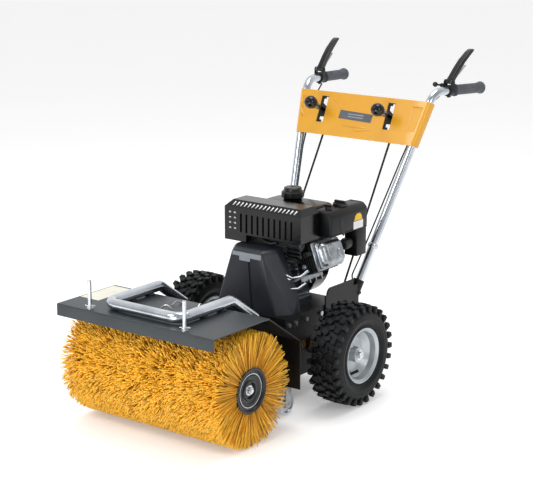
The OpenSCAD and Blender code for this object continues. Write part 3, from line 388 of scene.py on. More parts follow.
def combStrands(bm):
    # neighbouring strands bend the same way, so they gather in tufts that wander along the brush
    run = bm.verts.layers.float["strandRun"]
    elsewhere = Vector((9, 0, 0))
    for v in bm.verts:
        t = v[run]
        y, z = v.co.y - brush["centreY"], v.co.z - brush["centreZ"]
        angle = atan2(z, y)
        seat = Vector((v.co.x / 48, cos(angle) * 2.6, sin(angle) * 2.6))
        fine = Vector((v.co.x / 13, cos(angle) * 9, sin(angle) * 9))
        calm = min(1, max(0.12, (282 - abs(v.co.x)) / 60))  # strands at the ends can't lean out of the core
        end = min(1, max(0, abs(v.co.x) - 262) / 38)
        bend = t ** 1.6 * calm
        v.co.x += bend * (brush["flow"] * noise.noise(seat) + brush["clump"] * noise.noise(fine))
        v.co.x += (1 if v.co.x > 0 else -1) * end * t ** 2 * brush["flare"]
        sway = 7 * noise.noise(seat + elsewhere) + 4 * noise.noise(fine + elsewhere)
        swing = bend * radians(sway)
        v.co.y = brush["centreY"] + y * cos(swing) - z * sin(swing)
        v.co.z = brush["centreZ"] + y * sin(swing) + z * cos(swing)


def makeBristles():
    wafers = [makeWafer(brush["strandsPerWafer"]) for _ in range(brush["variants"])]
    total, pieces = brush["wafers"], brush["pieces"]
    firstX = brush["endGap"] - brush["halfLength"]
    spacing = -2 * firstX / (total - 1)
    for part in range(pieces):
        bm = bmesh.new()
        for i in range(part * total // pieces, (part + 1) * total // pieces):
            before = len(bm.verts)
            bm.from_mesh(random.choice(wafers))
            bm.verts.ensure_lookup_table()
            matrix = place(firstX + spacing * i, 0, 0) @ brushCentre @ turn(random.uniform(0, 360), "X")
            bmesh.ops.transform(bm, matrix=matrix, verts=bm.verts[before:])
        combStrands(bm)
        replaced = ("bristles",) if part == 0 else ()
        addPiece("bristles" + "ABCD"[part], bm, "brush", polypropylene, 180, replaced)
    for mesh in wafers:
        bpy.data.meshes.remove(mesh)


makeBristles()
print("bristles ready")

hub = {"disc": 69, "tube": 60, "shaft": 10, "inner": 32, "face": 297.4, "shaftEnd": 294, "nutAcross": 20,
       "nutHeight": 8, "washer": 16}


def makeHub():
    bm = bmesh.new()
    outward = brushCentre @ sideToSide
    r, tube, shaft = hub["disc"], hub["tube"], hub["shaft"]
    rim = [(r - 2, 289), (r, 291), (r, 295), (r - 2.5, hub["face"]), (r - 6, hub["face"]), (r - 9, 295)]
    dish = [(r - 11, 290), (47, 289), (45, 291), (42, 291), (40, 289), (31, 288), (29, 291), (25, 291),
            (22, 284)]
    turned(bm, [(shaft, hub["inner"]), (tube, hub["inner"]), (tube, 288)] + rim + dish
           + [(shaft, 283), (shaft, hub["inner"])], outward, 72)
    turned(bm, [(0, 0), (shaft, 0), (shaft, hub["shaftEnd"]), (0, hub["shaftEnd"])], outward, 24)
    mirrored(bm)
    addPiece("hubDiscs", bm, "brush", blackMoulding, 40, ("brush_core",))
    bm = bmesh.new()
    turned(bm, [(49.4, 289.4), (50.6, 289.6), (51.2, 290.6), (51.2, 291.2), (49.4, 291.2), (49.4, 289.4)],
           outward, 72)
    washer = hub["washer"]
    turned(bm, [(0, 284), (washer, 284), (washer, 286), (washer - 1, 287), (0, 287)], outward, 32)
    hexBolt(bm, outward @ place(0, 0, 285.4), hub["nutAcross"], hub["nutHeight"], False)
    turned(bm, [(0, 290), (6, 290), (6, 297.5), (5, 298.5), (0, 298.5)], outward, 24)
    mirrored(bm)
    addPiece("hubRings", bm, "brush", zincPlate)


makeHub()

hood = {"half": 301, "front": -676, "back": -420, "top": 376, "lip": 37, "sheet": 3, "bend": 4,
        "label": (-296, -222, -580, -430), "printThick": 0.5, "loopWire": 2.2, "pinWire": 1.3, "pinX": 182,
        "loops": ((-2, -523, 20), (-4, -472, 70), (71, -455, 100))}


def makeHood():
    bm = bmesh.new()
    y0, y1, z1, t = hood["front"], hood["back"], hood["top"], hood["sheet"]
    lipEnd = z1 - hood["lip"]
    outline = [(y0, lipEnd), (y0, z1), (y1, z1), (y1, z1 - t), (y0 + t, z1 - t), (y0 + t, lipEnd)]
    plate(bm, outline, 2 * hood["half"], place(-hood["half"], 0, 0) @ drawnAcross)
    bend = [e for e in edgesLevelWith(bm, z1) if all(abs(v.co.y - y0) < 0.1 for v in e.verts)]
    bevelled(bm, bend, hood["bend"], 4)
    addPiece("hoodSheet", bm, "brush_head", slateEnamel, 40, ("hood",))
    bm = bmesh.new()
    block(bm, *hood["label"], z1, z1 + hood["printThick"])
    addPiece("hoodLabel", bm, "brush_head", creamVinyl)
    bm = bmesh.new()
    loop = [(-17, 0, 0.5), (-14, 0, 3), (-6, 0, 9), (0, 0, 11), (6, 0, 9), (14, 0, 3), (17, 0, 0.5)]
    for x, y, facing in hood["loops"]:
        spot = place(x, y, z1) @ turn(facing, "Z")
        wire(bm, [spot @ Vector(p) for p in loop], hood["loopWire"])
    for x in (-hood["pinX"], hood["pinX"]):  # spring pins behind the front lip
        y, z = y0 + 18, z1 + 9
        ring = arcPoints((x, y, z), 8.6, 200, 520, 16)
        wire(bm, ring + [(x + 17, y + 4, z + 2), (x + 24, y - 2, z + 5)], hood["pinWire"])
        wire(bm, [(x - 14, y - 5, z), (x, y, z), (x + 15, y + 7, z)], hood["pinWire"])
    addPiece("hoodClips", bm, "brush_head", zincPlate)


makeHood()

spacer = {"x": (-140, 140), "y": (-520, -440), "foot": 15, "neck": 12, "height": 9}


def makeSpacers():
    bm = bmesh.new()
    foot, neck, height = spacer["foot"], spacer["neck"], spacer["height"]
    for x in spacer["x"]:
        for y in spacer["y"]:
            turned(bm, [(0, 0), (foot, 0), (foot, 3), (neck, 6), (neck, height), (0, height)],
                   place(x, y, hood["top"]), 28)
    addPiece("bumperSpacers", bm, "brush_head", blackMoulding)


makeSpacers()
print("hood ready")

# each level: height, width of the front face to the left and right, half width, corner cut, front set back
cover = {"sheet": 3, "front": -140, "back": -62, "corner": 5, "groove": (17, 27), "grooveDepth": 3.5,
         "grooveLean": 0.07, "grooveFoot": 290, "decalThick": 0.5,
         "levels": ((281, (120, 112), 150, 48, 0), (325, (104, 97), 149, 74, 0), (470, (57, 60), 86, 48, 0),
                    (480, (52, 54), 78, 34, 18))}


def makeCover():
    bm = bmesh.new()
    back, (low, high), lean = cover["back"], cover["groove"], cover["grooveLean"]
    for z, front, side, chamfer, shift in cover["levels"]:
        y0 = cover["front"] + shift
        for x, y in ((-front[0], y0), (front[1], y0), (side, y0 + chamfer), (side, back), (-side, back),
                     (-side, y0 + chamfer)):
            bm.verts.new((x, y, z))
    wrapVerts(bm, 3)
    bm.normal_update()
    floorZ = cover["levels"][0][0] + 1
    corners = [e for e in bm.edges if e.calc_face_angle(0) > radians(8)
               and not all(abs(v.co.y - back) < 0.1 or v.co.z < floorZ for v in e.verts)]
    bevelled(bm, corners, cover["corner"], 3)
    bm.normal_update()
    for x in (low, high):
        bmesh.ops.bisect_plane(bm, geom=bm.verts[:] + bm.edges[:] + bm.faces[:],
                               plane_co=(x, cover["front"], cover["grooveFoot"]),
                               plane_no=Vector((1, 0, lean)).normalized())
    bm.normal_update()
    strip = []
    for f in bm.faces:
        middle = f.calc_center_median()
        if f.normal.y < -0.9 and low - 2 < middle.x + (middle.z - cover["grooveFoot"]) * lean < high + 2:
            strip.append(f)
    bmesh.ops.inset_region(bm, faces=strip, thickness=0.8, depth=-cover["grooveDepth"], use_boundary=True,
                           use_even_offset=True)
    bm.normal_update()
    opened = [f for f in bm.faces if f.normal.y > 0.98 or f.normal.z < -0.98]
    bmesh.ops.delete(bm, geom=opened, context="FACES")
    bmesh.ops.solidify(bm, geom=bm.faces[:], thickness=cover["sheet"])
    addPiece("beltCoverShell", bm, "chassis", charcoalMoulding, 30, ("belt_cover",))
    bm = bmesh.new()
    decal = [(-55, 468), (-55, 455), (-28, 455), (-28, 441), (14, 441), (14, 452), (56, 452), (58, 468)]
    plate(bm, decal, cover["decalThick"], place(0, cover["front"] - 0.1, 0) @ turn(90, "X"))
    addPiece("coverDecal", bm, "chassis", greyVinyl)


makeCover()
print("cover ready")

engine = {"crankZ": 387, "cylinderTilt": 20, "cylinderY": 45, "front": -44}
tilted = place(0, engine["cylinderY"], engine["crankZ"]) @ turn(-engine["cylinderTilt"], "Y")
onCylinder = tilted @ sideToSide
tank = {"x": (-93, 133), "y": (30, 162), "lift": 154, "height": 54, "cornerRadius": 30, "topSoft": 16,
        "bottomSoft": 6, "seam": (17, 20), "legs": (-60, 60), "legY": 120,
        "fillerY": 105}
cap = {"lift": 217, "radius": 36, "knurls": 18}


def makeTank():
    bm = bmesh.new()
    z0 = engine["crankZ"] + tank["lift"]
    z1 = z0 + tank["height"]
    (x0, x1), (y0, y1) = tank["x"], tank["y"]
    block(bm, x0, x1, y0, y1, z0, z1)
    upright = [e for e in bm.edges if abs(e.verts[0].co.z - e.verts[1].co.z) > 1]
    bevelled(bm, upright, tank["cornerRadius"], 6)
    bevelled(bm, edgesLevelWith(bm, z1), tank["topSoft"], 5)
    bevelled(bm, edgesLevelWith(bm, z0), tank["bottomSoft"], 2)
    turned(bm, [(0, 50), (31, 50), (31, 58), (27, 61), (26, 63), (0, 63)], place(0, tank["fillerY"], z0), 40)
    for x in tank["legs"]:
        turned(bm, [(0, -43), (7, -43), (7, 2), (0, 2)], place(x, tank["legY"], z0), 20)
    # pressed seam where the two halves of the tank are welded
    block(bm, x0 + 2, x1 - 2, y0 + 2, y1 - 2, z0 + tank["seam"][0], z0 + tank["seam"][1])
    addPiece("tankShell", bm, "chassis", tankEnamel, 35, ("fuel_tank",))
    bm = bmesh.new()
    capAt = place(0, tank["fillerY"], engine["crankZ"] + cap["lift"])
    r = cap["radius"]
    turned(bm, [(0, 0), (r - 2, 0), (r, 2), (r, 18), (r - 3, 22), (29.5, 23), (29, 31), (26, 34), (8, 34),
                (7, 32.5), (0, 32.5)], capAt, 48)
    for i in range(cap["knurls"]):
        block(bm, r - 1.5, r + 1, -2.4, 2.4, 2, 19, capAt @ turn(i * 360 / cap["knurls"], "Z"), 0.9, 1)
    addPiece("capMoulding", bm, "fuel_cap", blackMoulding, 35, ("fuel_cap",))


makeTank()

# the box is a wide lower part and a narrower, taller one, wrapped together
box = {"x": 134, "y": (30, 236), "wide": (70, 126, 190), "tall": (54, 122, 206), "corner": 7,
       "ribs": (40, 226), "opening": (29, 12), "printThick": 0.5}


def makeBox():
    bm = bmesh.new()
    x, z = box["x"], engine["crankZ"]
    side = x + box["wide"][0]
    for width, bottom, top in (box["wide"], box["tall"]):
        for cornerX, cornerZ in ((x, bottom), (x + width, bottom), (x, top), (x + width, top)):
            for y in box["y"]:
                bm.verts.new((cornerX, y, z + cornerZ))
    bmesh.ops.remove_doubles(bm, verts=bm.verts, dist=0.1)
    wrapVerts(bm, 2)
    bevelled(bm, bm.edges[:], box["corner"], 3)
    bm.normal_update()
    block(bm, x + 18, x + 68, 178, 234, z + 34, z + 150, Matrix(), 5, 2)
    # stiffening ribs over the lid and a raised parting line round the side
    for y in box["ribs"]:
        block(bm, x + 6, x + 48, y - 1.5, y + 1.5, z + 205, z + 207, Matrix(), 0.6, 1)
    block(bm, side - 1, side + 1.2, 34, 232, z + 126, z + 129, Matrix(), 0.8, 1)
    addPiece("heaterBoxShell", bm, "chassis", boxMoulding, 35, ("heater_box",))
    bm = bmesh.new()
    # the opening is a thin, slightly darker matt oval plate on the side: painted shade of the opening's
    # inside
    recess = place(side + 0.1, 92, z + 148) @ turn(90, "Y") @ turn(14, "Z")
    long, short = box["opening"]
    oval = [(-long * cos(radians(k * 15)), short * sin(radians(k * 15))) for k in range(24)]
    plate(bm, oval, 0.9, recess, 0.5, 1)
    addPiece("boxOpening", bm, "chassis", grooveRubber)
    bm = bmesh.new()
    block(bm, side, side + box["printThick"], 154, 208, z + 128, z + 154)
    addPiece("boxLabelWhite", bm, "chassis", whiteVinyl)
    bm = bmesh.new()
    shield = [(158, 156), (204, 156), (198, 171), (190, 178), (172, 178), (163, 171)]
    plate(bm, shield, box["printThick"], place(side, 0, z) @ drawnAcross)
    addPiece("boxLabelYellow", bm, "chassis", yellowVinyl)


makeBox()

rocker = {"shift": -4, "flange": (46, 67), "step": (42, 61), "dome": (40, 58), "domeSoft": 22, "top": 225,
          "ribs": (-34, -22, -10), "boltX": 37, "boltY": 56, "boltAcross": 8}
caseBolts = {"across": 10, "height": 6, "spots": ((70, 330), (-70, 330), (70, 430), (-70, 430), (0, 440))}
louvres = {"count": 4, "spacing": 13, "firstZ": 458}


def makeRockerCover():
    bm = bmesh.new()
    at = onCylinder @ place(rocker["shift"], 0, 0)
    (flangeX, flangeY), (stepX, stepY), (domeX, domeY) = rocker["flange"], rocker["step"], rocker["dome"]
    block(bm, -flangeX, flangeX, -flangeY, flangeY, 185, 191, at, 2, 2)
    block(bm, -stepX, stepX, -stepY, stepY, 189, 206, at, 6, 3)
    before = set(bm.verts)
    block(bm, -domeX, domeX, -domeY, domeY, 176, rocker["top"], at)
    dome = [v for v in bm.verts if v not in before]
    bevelled(bm, list({e for v in dome for e in v.link_edges}), rocker["domeSoft"], 7)
    for y in rocker["ribs"]:
        block(bm, -30, 22, y - 1.6, y + 1.6, 214, rocker["top"] + 1, at, 1.4, 2)
    turned(bm, [(0, 222), (15, 222), (15, 227), (13, 229), (0, 229)], at @ place(6, 26, 0), 32)
    addPiece("rockerCasting", bm, "chassis", castAlloy, 35, ("rocker_cover",))
    bm = bmesh.new()
    for x in (-rocker["boltX"], rocker["boltX"]):
        for y in (-rocker["boltY"], rocker["boltY"]):
            hexBolt(bm, at @ place(x, y, 191), rocker["boltAcross"], 5)
    spots = [place(x, engine["front"], z) for x, z in caseBolts["spots"]]
    for spot in [onCylinder @ place(18, -68, 142)] + spots:
        hexBolt(bm, spot @ turn(90, "X"), caseBolts["across"], caseBolts["height"])
    addPiece("engineBolts", bm, "chassis", zincPlate)
    # a heat shield with louvres below the muffler guard
    bm = bmesh.new()
    block(bm, 100, 152, -62, -34, 452, 512, Matrix(), 4, 2)
    for i in range(louvres["count"]):
        z = louvres["firstZ"] + i * louvres["spacing"]
        block(bm, 98, 150, -66, -58, z, z + 7, Matrix(), 2, 2)
    addPiece("louvreShield", bm, "chassis", glossBlackEnamel)


makeRockerCover()

casting = {"sideRibs": (-64, -48, -32), "frontRibs": (-50, -34, -18, -2), "flowingRadius": 5.4,
           "flowingRibs": ((0, 0), (14, 8), (28, 18)), "pipeRadius": 4.4, "bossRadius": 30}
cowling = {"louvres": 5, "spacing": 15, "firstZ": 436, "pipeRadius": 5, "canisterX": 186, "clampX": 176,
           "clampY": (150, 168), "middleZ": 470}
# where the white plates go that paint the light seen through the guard slots
throughSlotPlan = {"slots": 17, "firstX": -104, "spacing": 15, "slope": 39, "slotSlope": 50, "slotTurn": -20}


def makeCrankcaseRibs():
    bm = bmesh.new()
    # raised ribs that run down the front of the casting, and the round boss of its side cover
    for y in casting["sideRibs"]:
        block(bm, 64, 114, y - 2.5, y + 2.5, -70, -58, tilted, 2, 2)
    for z in casting["frontRibs"]:
        block(bm, 84, 116, -75, -69, z - 3, z + 3, tilted, 2, 2)
    r = casting["bossRadius"]
    turned(bm, [(0, 0), (r, 0), (r, 5), (r - 3, 8), (16, 8), (14, 5), (0, 5)],
           place(0, engine["front"], engine["crankZ"]) @ turn(90, "X"), 40)
    block(bm, -74, 74, -47, -43, 300, 306, Matrix(), 1.5, 2)
    block(bm, 77, 84, -34, 80, 300, 308, Matrix(), 2, 2)
    # flowing cast ribs and the inlet pipe under the rocker cover
    for lift, reach in casting["flowingRibs"]:
        wire(bm, [(74, -60, 424 + lift), (80, -74, 404 + lift * 0.8), (94, -80, 388 + lift * 0.6),
                  (116 + reach, -78, 380 + lift * 0.5), (142 + reach, -68, 388 + lift * 0.5),
                  (166 + reach * 0.6, -54, 410 + lift * 0.4)], casting["flowingRadius"], 14)
    wire(bm, [(84, -60, 372), (90, -78, 366), (120, -80, 356), (150, -70, 362), (170, -56, 380)],
         casting["pipeRadius"], 12)
    turned(bm, [(0, 0), (15, 0), (15, 10), (11, 13), (0, 13)], place(96, -68, 402) @ turn(90, "X"), 28)
    addPiece("crankcaseRibs", bm, "chassis", castAlloy)


def makeCowling():
    # closes the space between the crankcase, the cylinder and the muffler guard
    bm = bmesh.new()
    block(bm, -76, 92, -52, 60, 440, 512, Matrix(), 8, 3)
    block(bm, 40, 128, -56, 30, 430, 512, Matrix(), 6, 2)
    block(bm, -120, -60, -30, 60, 470, 512, Matrix(), 6, 2)
    for i in range(cowling["louvres"]):
        z = cowling["firstZ"] + i * cowling["spacing"]
        block(bm, 44, 126, -61, -54, z, z + 8, Matrix(), 2.5, 2)
    wire(bm, [(60, -60, 494), (40, -66, 488), (14, -66, 492), (2, -58, 500)], cowling["pipeRadius"], 12)
    turned(bm, [(0, 0), (17, 0), (17, 26), (14, 30), (0, 30)],
           place(cowling["canisterX"], 150, cowling["middleZ"]) @ turn(90, "X"), 28)
    for y in cowling["clampY"]:
        turned(bm, [(12, 0), (16, 0), (16, 5), (12, 5), (12, 0)],
               place(cowling["clampX"], y, cowling["middleZ"]) @ turn(90, "X"), 24)
    addPiece("engineCowling", bm, "chassis", heatPaint)


def makeThroughSlotPlates():
    # near-white plates just behind the slots of the muffler guard: painted light seen through the slots
    bm = bmesh.new()
    block(bm, -124, 154, 0, 27, -1.5, 0, place(0, -75, 586) @ turn(throughSlotPlan["slope"], "X"))
    block(bm, -128, -84, -76.4, -75.2, 514, 584)
    for i in range(throughSlotPlan["slots"]):
        slot = place(throughSlotPlan["firstX"] + throughSlotPlan["spacing"] * i, -68, 601) @ turn(throughSlotPlan["slotSlope"], "X")
        block(bm, -2.4, 2.4, -8.2, 8.2, -5, -1.2, slot @ turn(throughSlotPlan["slotTurn"], "Z"))
    addPiece("throughSlotPlates", bm, "chassis", ceramicCoat)


makeCrankcaseRibs()
makeCowling()
makeThroughSlotPlates()
print("engine ready")

# each lug is four blocks: inner and outer radius, half width, from and to along the axle, shift, turn,
# softness and its segments
tyre = {"radius": 163, "half": 56, "middleX": 301, "bead": 80.1, "lugs": 27,
        "lugBlocks": ((148, 162.2, 8.5, -1, 20, 0, 22, 2.2, 1), (145, 161.2, 9, 21, 38, -3, -12, 2.4, 1),
                      (140, 159.2, 8, 38, 54.5, -12, 0, 2.6, 2), (133, 151, 3.5, 46, 55, -12, 0, 2, 1)),
        "valveTurn": -27, "valveLean": -34, "nutAcross": 21, "nutHeight": 8}


def makeTyres():
    bm = bmesh.new()
    hubAt = place(tyre["middleX"], 0, axleZ) @ sideToSide
    r, w = tyre["radius"], tyre["half"]
    wall = [(tyre["bead"], 42.4), (94, 44.5), (97, 47.5), (100, 47.2), (103, 49.8), (108, w - 3.5),
            (112, w - 1.6), (120, w - 0.8), (122, w - 1.8), (124, w - 0.8), (132, w - 2), (140, w - 6),
            (r - 13, w - 14), (r - 10.5, w - 26), (r - 10, 0)]
    turned(bm, wall + [(a, -b) for a, b in reversed(wall[:-1])] + [wall[0]], hubAt, 96)
    for i in range(tyre["lugs"]):
        for side in (1, -1):
            angle = (i + (0.5 if side < 0 else 0)) * 360 / tyre["lugs"]
            at = hubAt @ turn(angle, "Z") @ Matrix.Scale(side, 4, (0, 0, 1))
            for low, high, half, z0, z1, shift, slant, soft, segments in tyre["lugBlocks"]:
                block(bm, low, high, -half, half, z0, z1, at @ place(0, shift, 0) @ turn(slant, "X"), soft,
                      segments)
    bmesh.ops.remove_doubles(bm, verts=bm.verts, dist=0.002)
    for v in bm.verts:  # the lugs end at one radius and width
        away = Vector((0, v.co.y, v.co.z - axleZ))
        if away.length > r - 0.1:
            away *= (r - 0.1) / away.length
            v.co.y, v.co.z = away.y, away.z + axleZ
        v.co.x = min(v.co.x, tyre["middleX"] + w - 0.2)
        v.co.x = max(v.co.x, tyre["middleX"] - w + 0.2)
    bmesh.ops.recalc_face_normals(bm, faces=bm.faces)
    mirrored(bm)
    addPiece("tyreRubber", bm, "drive_wheels", tyreRubber, 34, ("tyres",))
    bm = bmesh.new()
    valveAt = hubAt @ turn(tyre["valveTurn"], "Z") @ place(70, 0, 14) @ turn(tyre["valveLean"], "Y")
    turned(bm, [(0, 0), (5.5, 0), (5.2, 4), (4.4, 8), (4.4, 30), (5, 31), (5, 38), (0, 38)], valveAt, 20)
    mirrored(bm)
    addPiece("valveStems", bm, "drive_wheels", beltRubber)
    bm = bmesh.new()
    turned(bm, [(0, 34), (17, 34), (17, 36), (0, 36)], hubAt, 32)
    hexBolt(bm, hubAt @ place(0, 0, 35), tyre["nutAcross"], tyre["nutHeight"], False)
    mirrored(bm)
    addPiece("wheelNuts", bm, "drive_wheels", zincPlate)


makeTyres()
print("wheels ready")

handle = {"foot": Vector((140, 232, 235)), "corner": Vector((255, 540, 916)), "end": Vector((283, 808, 903)),
          "tube": 14, "gripLength": 158, "grooves": 11, "grooveSpacing": 11, "clampAt": 205,
          "bolts": ((212, 17, 9, 5), (60, 19, 11, 6))}  # how far up the tube, how far out, across, height
gripWay = (handle["end"] - handle["corner"]).normalized()
rise = handle["corner"] - handle["foot"]
leanAngle = atan2(rise.y, rise.z)


def makeGrips():
    bm = bmesh.new()
    start = handle["end"] - gripWay * handle["gripLength"]
    profile = [(handle["tube"] + 0.1, 0), (20, 0), (21, 1.5), (21, 5), (19.5, 7), (16.8, 9)]
    for k in range(handle["grooves"]):
        z = 14 + k * handle["grooveSpacing"]
        profile += [(17.2, z), (17.4, z + 3.5), (17.4, z + 6.5), (16.9, z + 8.2)]
    profile += [(17.6, 138), (19.6, 144), (20.9, 149), (20.9, 153), (18.5, 157), (12, 158), (0, 158)]
    turned(bm, profile, aim(start, handle["end"]), 40)
    mirrored(bm)
    addPiece("gripSleeves", bm, "chassis", nitrileFoam, 50, ("grips",))
    bm = bmesh.new()
    tubeAt = aim(handle["foot"], handle["corner"])
    inner = handle["tube"] + 0.1
    turned(bm, [(inner, 0), (17, 0), (17.5, 1), (17.5, 13), (17, 14), (inner, 14), (inner, 0)],
           tubeAt @ place(0, 0, handle["clampAt"]), 32)
    for upTube, out, across, height in handle["bolts"]:
        hexBolt(bm, tubeAt @ place(0, 0, upTube) @ turn(90, "Y") @ place(0, 0, out), across, height)
    mirrored(bm)
    addPiece("tubeClamps", bm, "chassis", zincPlate)


makeGrips()

panel = {"z": 810, "height": 153, "sheet": 3, "slotMiddle": 13, "slotHeight": 93, "slotWidth": 28,
         "gap": 14.8, "speedX": 120, "swivelX": -150, "fieldFrom": 190, "fieldDepth": 2.4,
         "creases": ((-92, 38, 52, -40), (-6, -36, 96, 0), (26, -46, 60, 12))}  # x, y, length, turn
panelMiddle = handle["foot"].lerp(handle["corner"], (panel["z"] - handle["foot"].z) / rise.z)
onPanel = place(0, panelMiddle.y, panel["z"]) @ Matrix.Rotation(-leanAngle, 4, "X")
splay = rise.x / Vector((rise.y, rise.z)).length


def makePanel():
    bm = bmesh.new()
    half = panel["height"] / 2
    depth = panel["gap"] + panel["sheet"] / 2
    slotZ, slotHalf = panel["slotMiddle"], panel["slotHeight"] / 2
    leverX = (panel["swivelX"], panel["speedX"])
    slots = [x + s * panel["slotWidth"] / 2 for x in leverX for s in (-1, 1)]
    flat = sorted(slots + [-232, -196, 0, 196])
    edgeX = panelMiddle.x
    # the section starts behind the tube, goes round it and runs across the front to the other tube
    rounded = [radians(90 - k * 15) for k in range(6)]
    route = [(-edgeX - depth, 13)] + [(-edgeX - depth * sin(a), -depth * cos(a)) for a in rounded]
    route.append((-edgeX, -depth))
    route += [(x, -depth) for x in flat if abs(x) < edgeX - 2]
    route += [(-x, y) for x, y in reversed(route[:8])]
    rows = [-half, slotZ - slotHalf, slotZ + slotHalf, half]
    verts = [bm.verts.new((x, y, rows[0])) for x, y in route]
    edges = [bm.edges.new(pair) for pair in zip(verts, verts[1:])]
    for row in rows[1:]:
        made, edges = drawnOut(bm, edges)
        for v in made:
            v.co.z = row
    for v in bm.verts:  # the ends follow the splayed tubes
        reach = min(1, max(0, (abs(v.co.x) - 200) / (edgeX - 200)))
        v.co.x += (1 if v.co.x > 0 else -1) * splay * v.co.z * reach
    bm.normal_update()
    middleRow = [(f, f.calc_center_median().x) for f in bm.faces
                 if abs(f.calc_center_median().z - slotZ) < 5]
    holes = [f for f, at in middleRow if any(abs(at - x) < 5 for x in leverX)]
    fields = [[f for f, at in middleRow if panel["fieldFrom"] < side * at < edgeX] for side in (-1, 1)]
    bmesh.ops.delete(bm, geom=holes, context="FACES")
    for field in fields:  # a shallow field is pressed in beside each tube
        inwards = 1 if field[0].normal.y > 0 else -1
        bmesh.ops.inset_region(bm, faces=field, thickness=6, depth=0, use_boundary=True)
        bmesh.ops.inset_region(bm, faces=field, thickness=3, depth=inwards * panel["fieldDepth"],
                               use_boundary=True)
    bmesh.ops.recalc_face_normals(bm, faces=bm.faces)
    facesFront = [f for f in bm.faces if abs(f.calc_center_median().x) < 100]
    if facesFront[0].normal.y > 0:
        bmesh.ops.reverse_faces(bm, faces=bm.faces)
    bmesh.ops.solidify(bm, geom=bm.faces[:], thickness=panel["sheet"])
    middle = [v.co.y for v in bm.verts if abs(v.co.x) < 150]
    bmesh.ops.translate(bm, vec=(0, -depth - sum(middle) / len(middle), 0), verts=bm.verts)
    # raised creases round the name plate
    for x, y, wide, angle in panel["creases"]:
        crease = place(0, -depth - 1.5, 0) @ turn(90, "X") @ place(x, y, 0) @ turn(angle, "Z")
        block(bm, -wide / 2, wide / 2, -2.2, 2.2, -0.5, 1.4, crease, 1.2, 2)
    bmesh.ops.transform(bm, matrix=onPanel, verts=bm.verts)
    addPiece("panelSheet", bm, "chassis", amberEnamel, 30, ("control_panel",))
    front = onPanel @ place(0, -depth - panel["sheet"] / 2, 0) @ turn(90, "X")
    bm = bmesh.new()
    plate(bm, [(-77, -13), (55, -17), (58, 12), (-74, 17)], 0.8, front, 0.4, 1)
    addPiece("namePlate", bm, "chassis", slateVinyl)
    bm = bmesh.new()
    for y in (-4, 5):
        plate(bm, [(-40, y - 1.3), (22, y - 2.6), (22, y + 0.6), (-40, y + 1.9)], 1.0, front)
    addPiece("namePlateBars", bm, "chassis", greyVinyl)


makePanel()

lever = {"knob": ((0, 117), (9, 115.2), (16, 110.8), (20.5, 104), (22.4, 96), (21.6, 88), (18.6, 79),
                  (14.4, 68), (11, 57), (9.4, 46), (9.6, 42), (0, 42)),
         "paddle": ((0, -8), (-8, 0), (-6, 7), (4, 9), (20, 10), (52, 14), (90, 16), (130, 12), (148, 8),
                    (157, 2.4), (157, -1), (150, -3), (126, -1), (92, 0), (58, -3), (30, -7), (12, -9)),
         "paddleWide": 22, "paddleSoft": 4.5,
         "blade": ((8, -6), (14, -7), (60, -10.6), (96, -13.8), (97, -16.4), (60, -13.2), (14, -9.4),
                   (8, -8.4)),
         "bladeWide": 12, "pivotAhead": 26, "pivotAbove": 28, "open": 39}


def makeKnobs():
    for side, x in (("speed", panel["speedX"]), ("swivel", panel["swivelX"])):
        bm = bmesh.new()
        turned(bm, lever["knob"], onPanel @ place(x, 0, panel["slotMiddle"]) @ turn(90, "X"), 40)
        addPiece(side + "Knob", bm, side + "_lever", glossMoulding, 50)


def makeClutchLevers():
    pivot = handle["end"] - gripWay * (handle["gripLength"] + lever["pivotAhead"])
    yaw = atan2(gripWay.x, gripWay.y)
    onLever = Matrix.Translation(pivot) @ Matrix.Rotation(-yaw, 4, "Z") @ place(0, 0, lever["pivotAbove"])
    paddleWide, bladeWide = lever["paddleWide"], lever["bladeWide"]
    for side, flip in (("left", Matrix()), ("right", mirrorX)):
        node = side + "_clutch_lever"
        at = flip @ onLever @ turn(lever["open"], "X") @ turn(90, "Z") @ turn(90, "X")
        bm = bmesh.new()
        plate(bm, lever["paddle"], paddleWide, at @ place(0, 0, -paddleWide / 2))
        bmesh.ops.recalc_face_normals(bm, faces=bm.faces)
        corners = [e for e in bm.edges if e.calc_face_angle(0) > radians(60)]
        bevelled(bm, corners, lever["paddleSoft"], 3)
        addPiece(side + "Paddle", bm, node, glossMoulding, 40, (node,))
        bm = bmesh.new()
        plate(bm, lever["blade"], bladeWide, at @ place(0, 0, -bladeWide / 2))
        turned(bm, [(0, -14), (5.5, -14), (6, -13), (6, 13), (5.5, 14), (0, 14)], at, 24)
        hexBolt(bm, at @ place(0, 0, 11), 9, 5)
        addPiece(side + "LeverSteel", bm, node, zincPlate, 30)


makeKnobs()
makeClutchLevers()
print("handles ready")

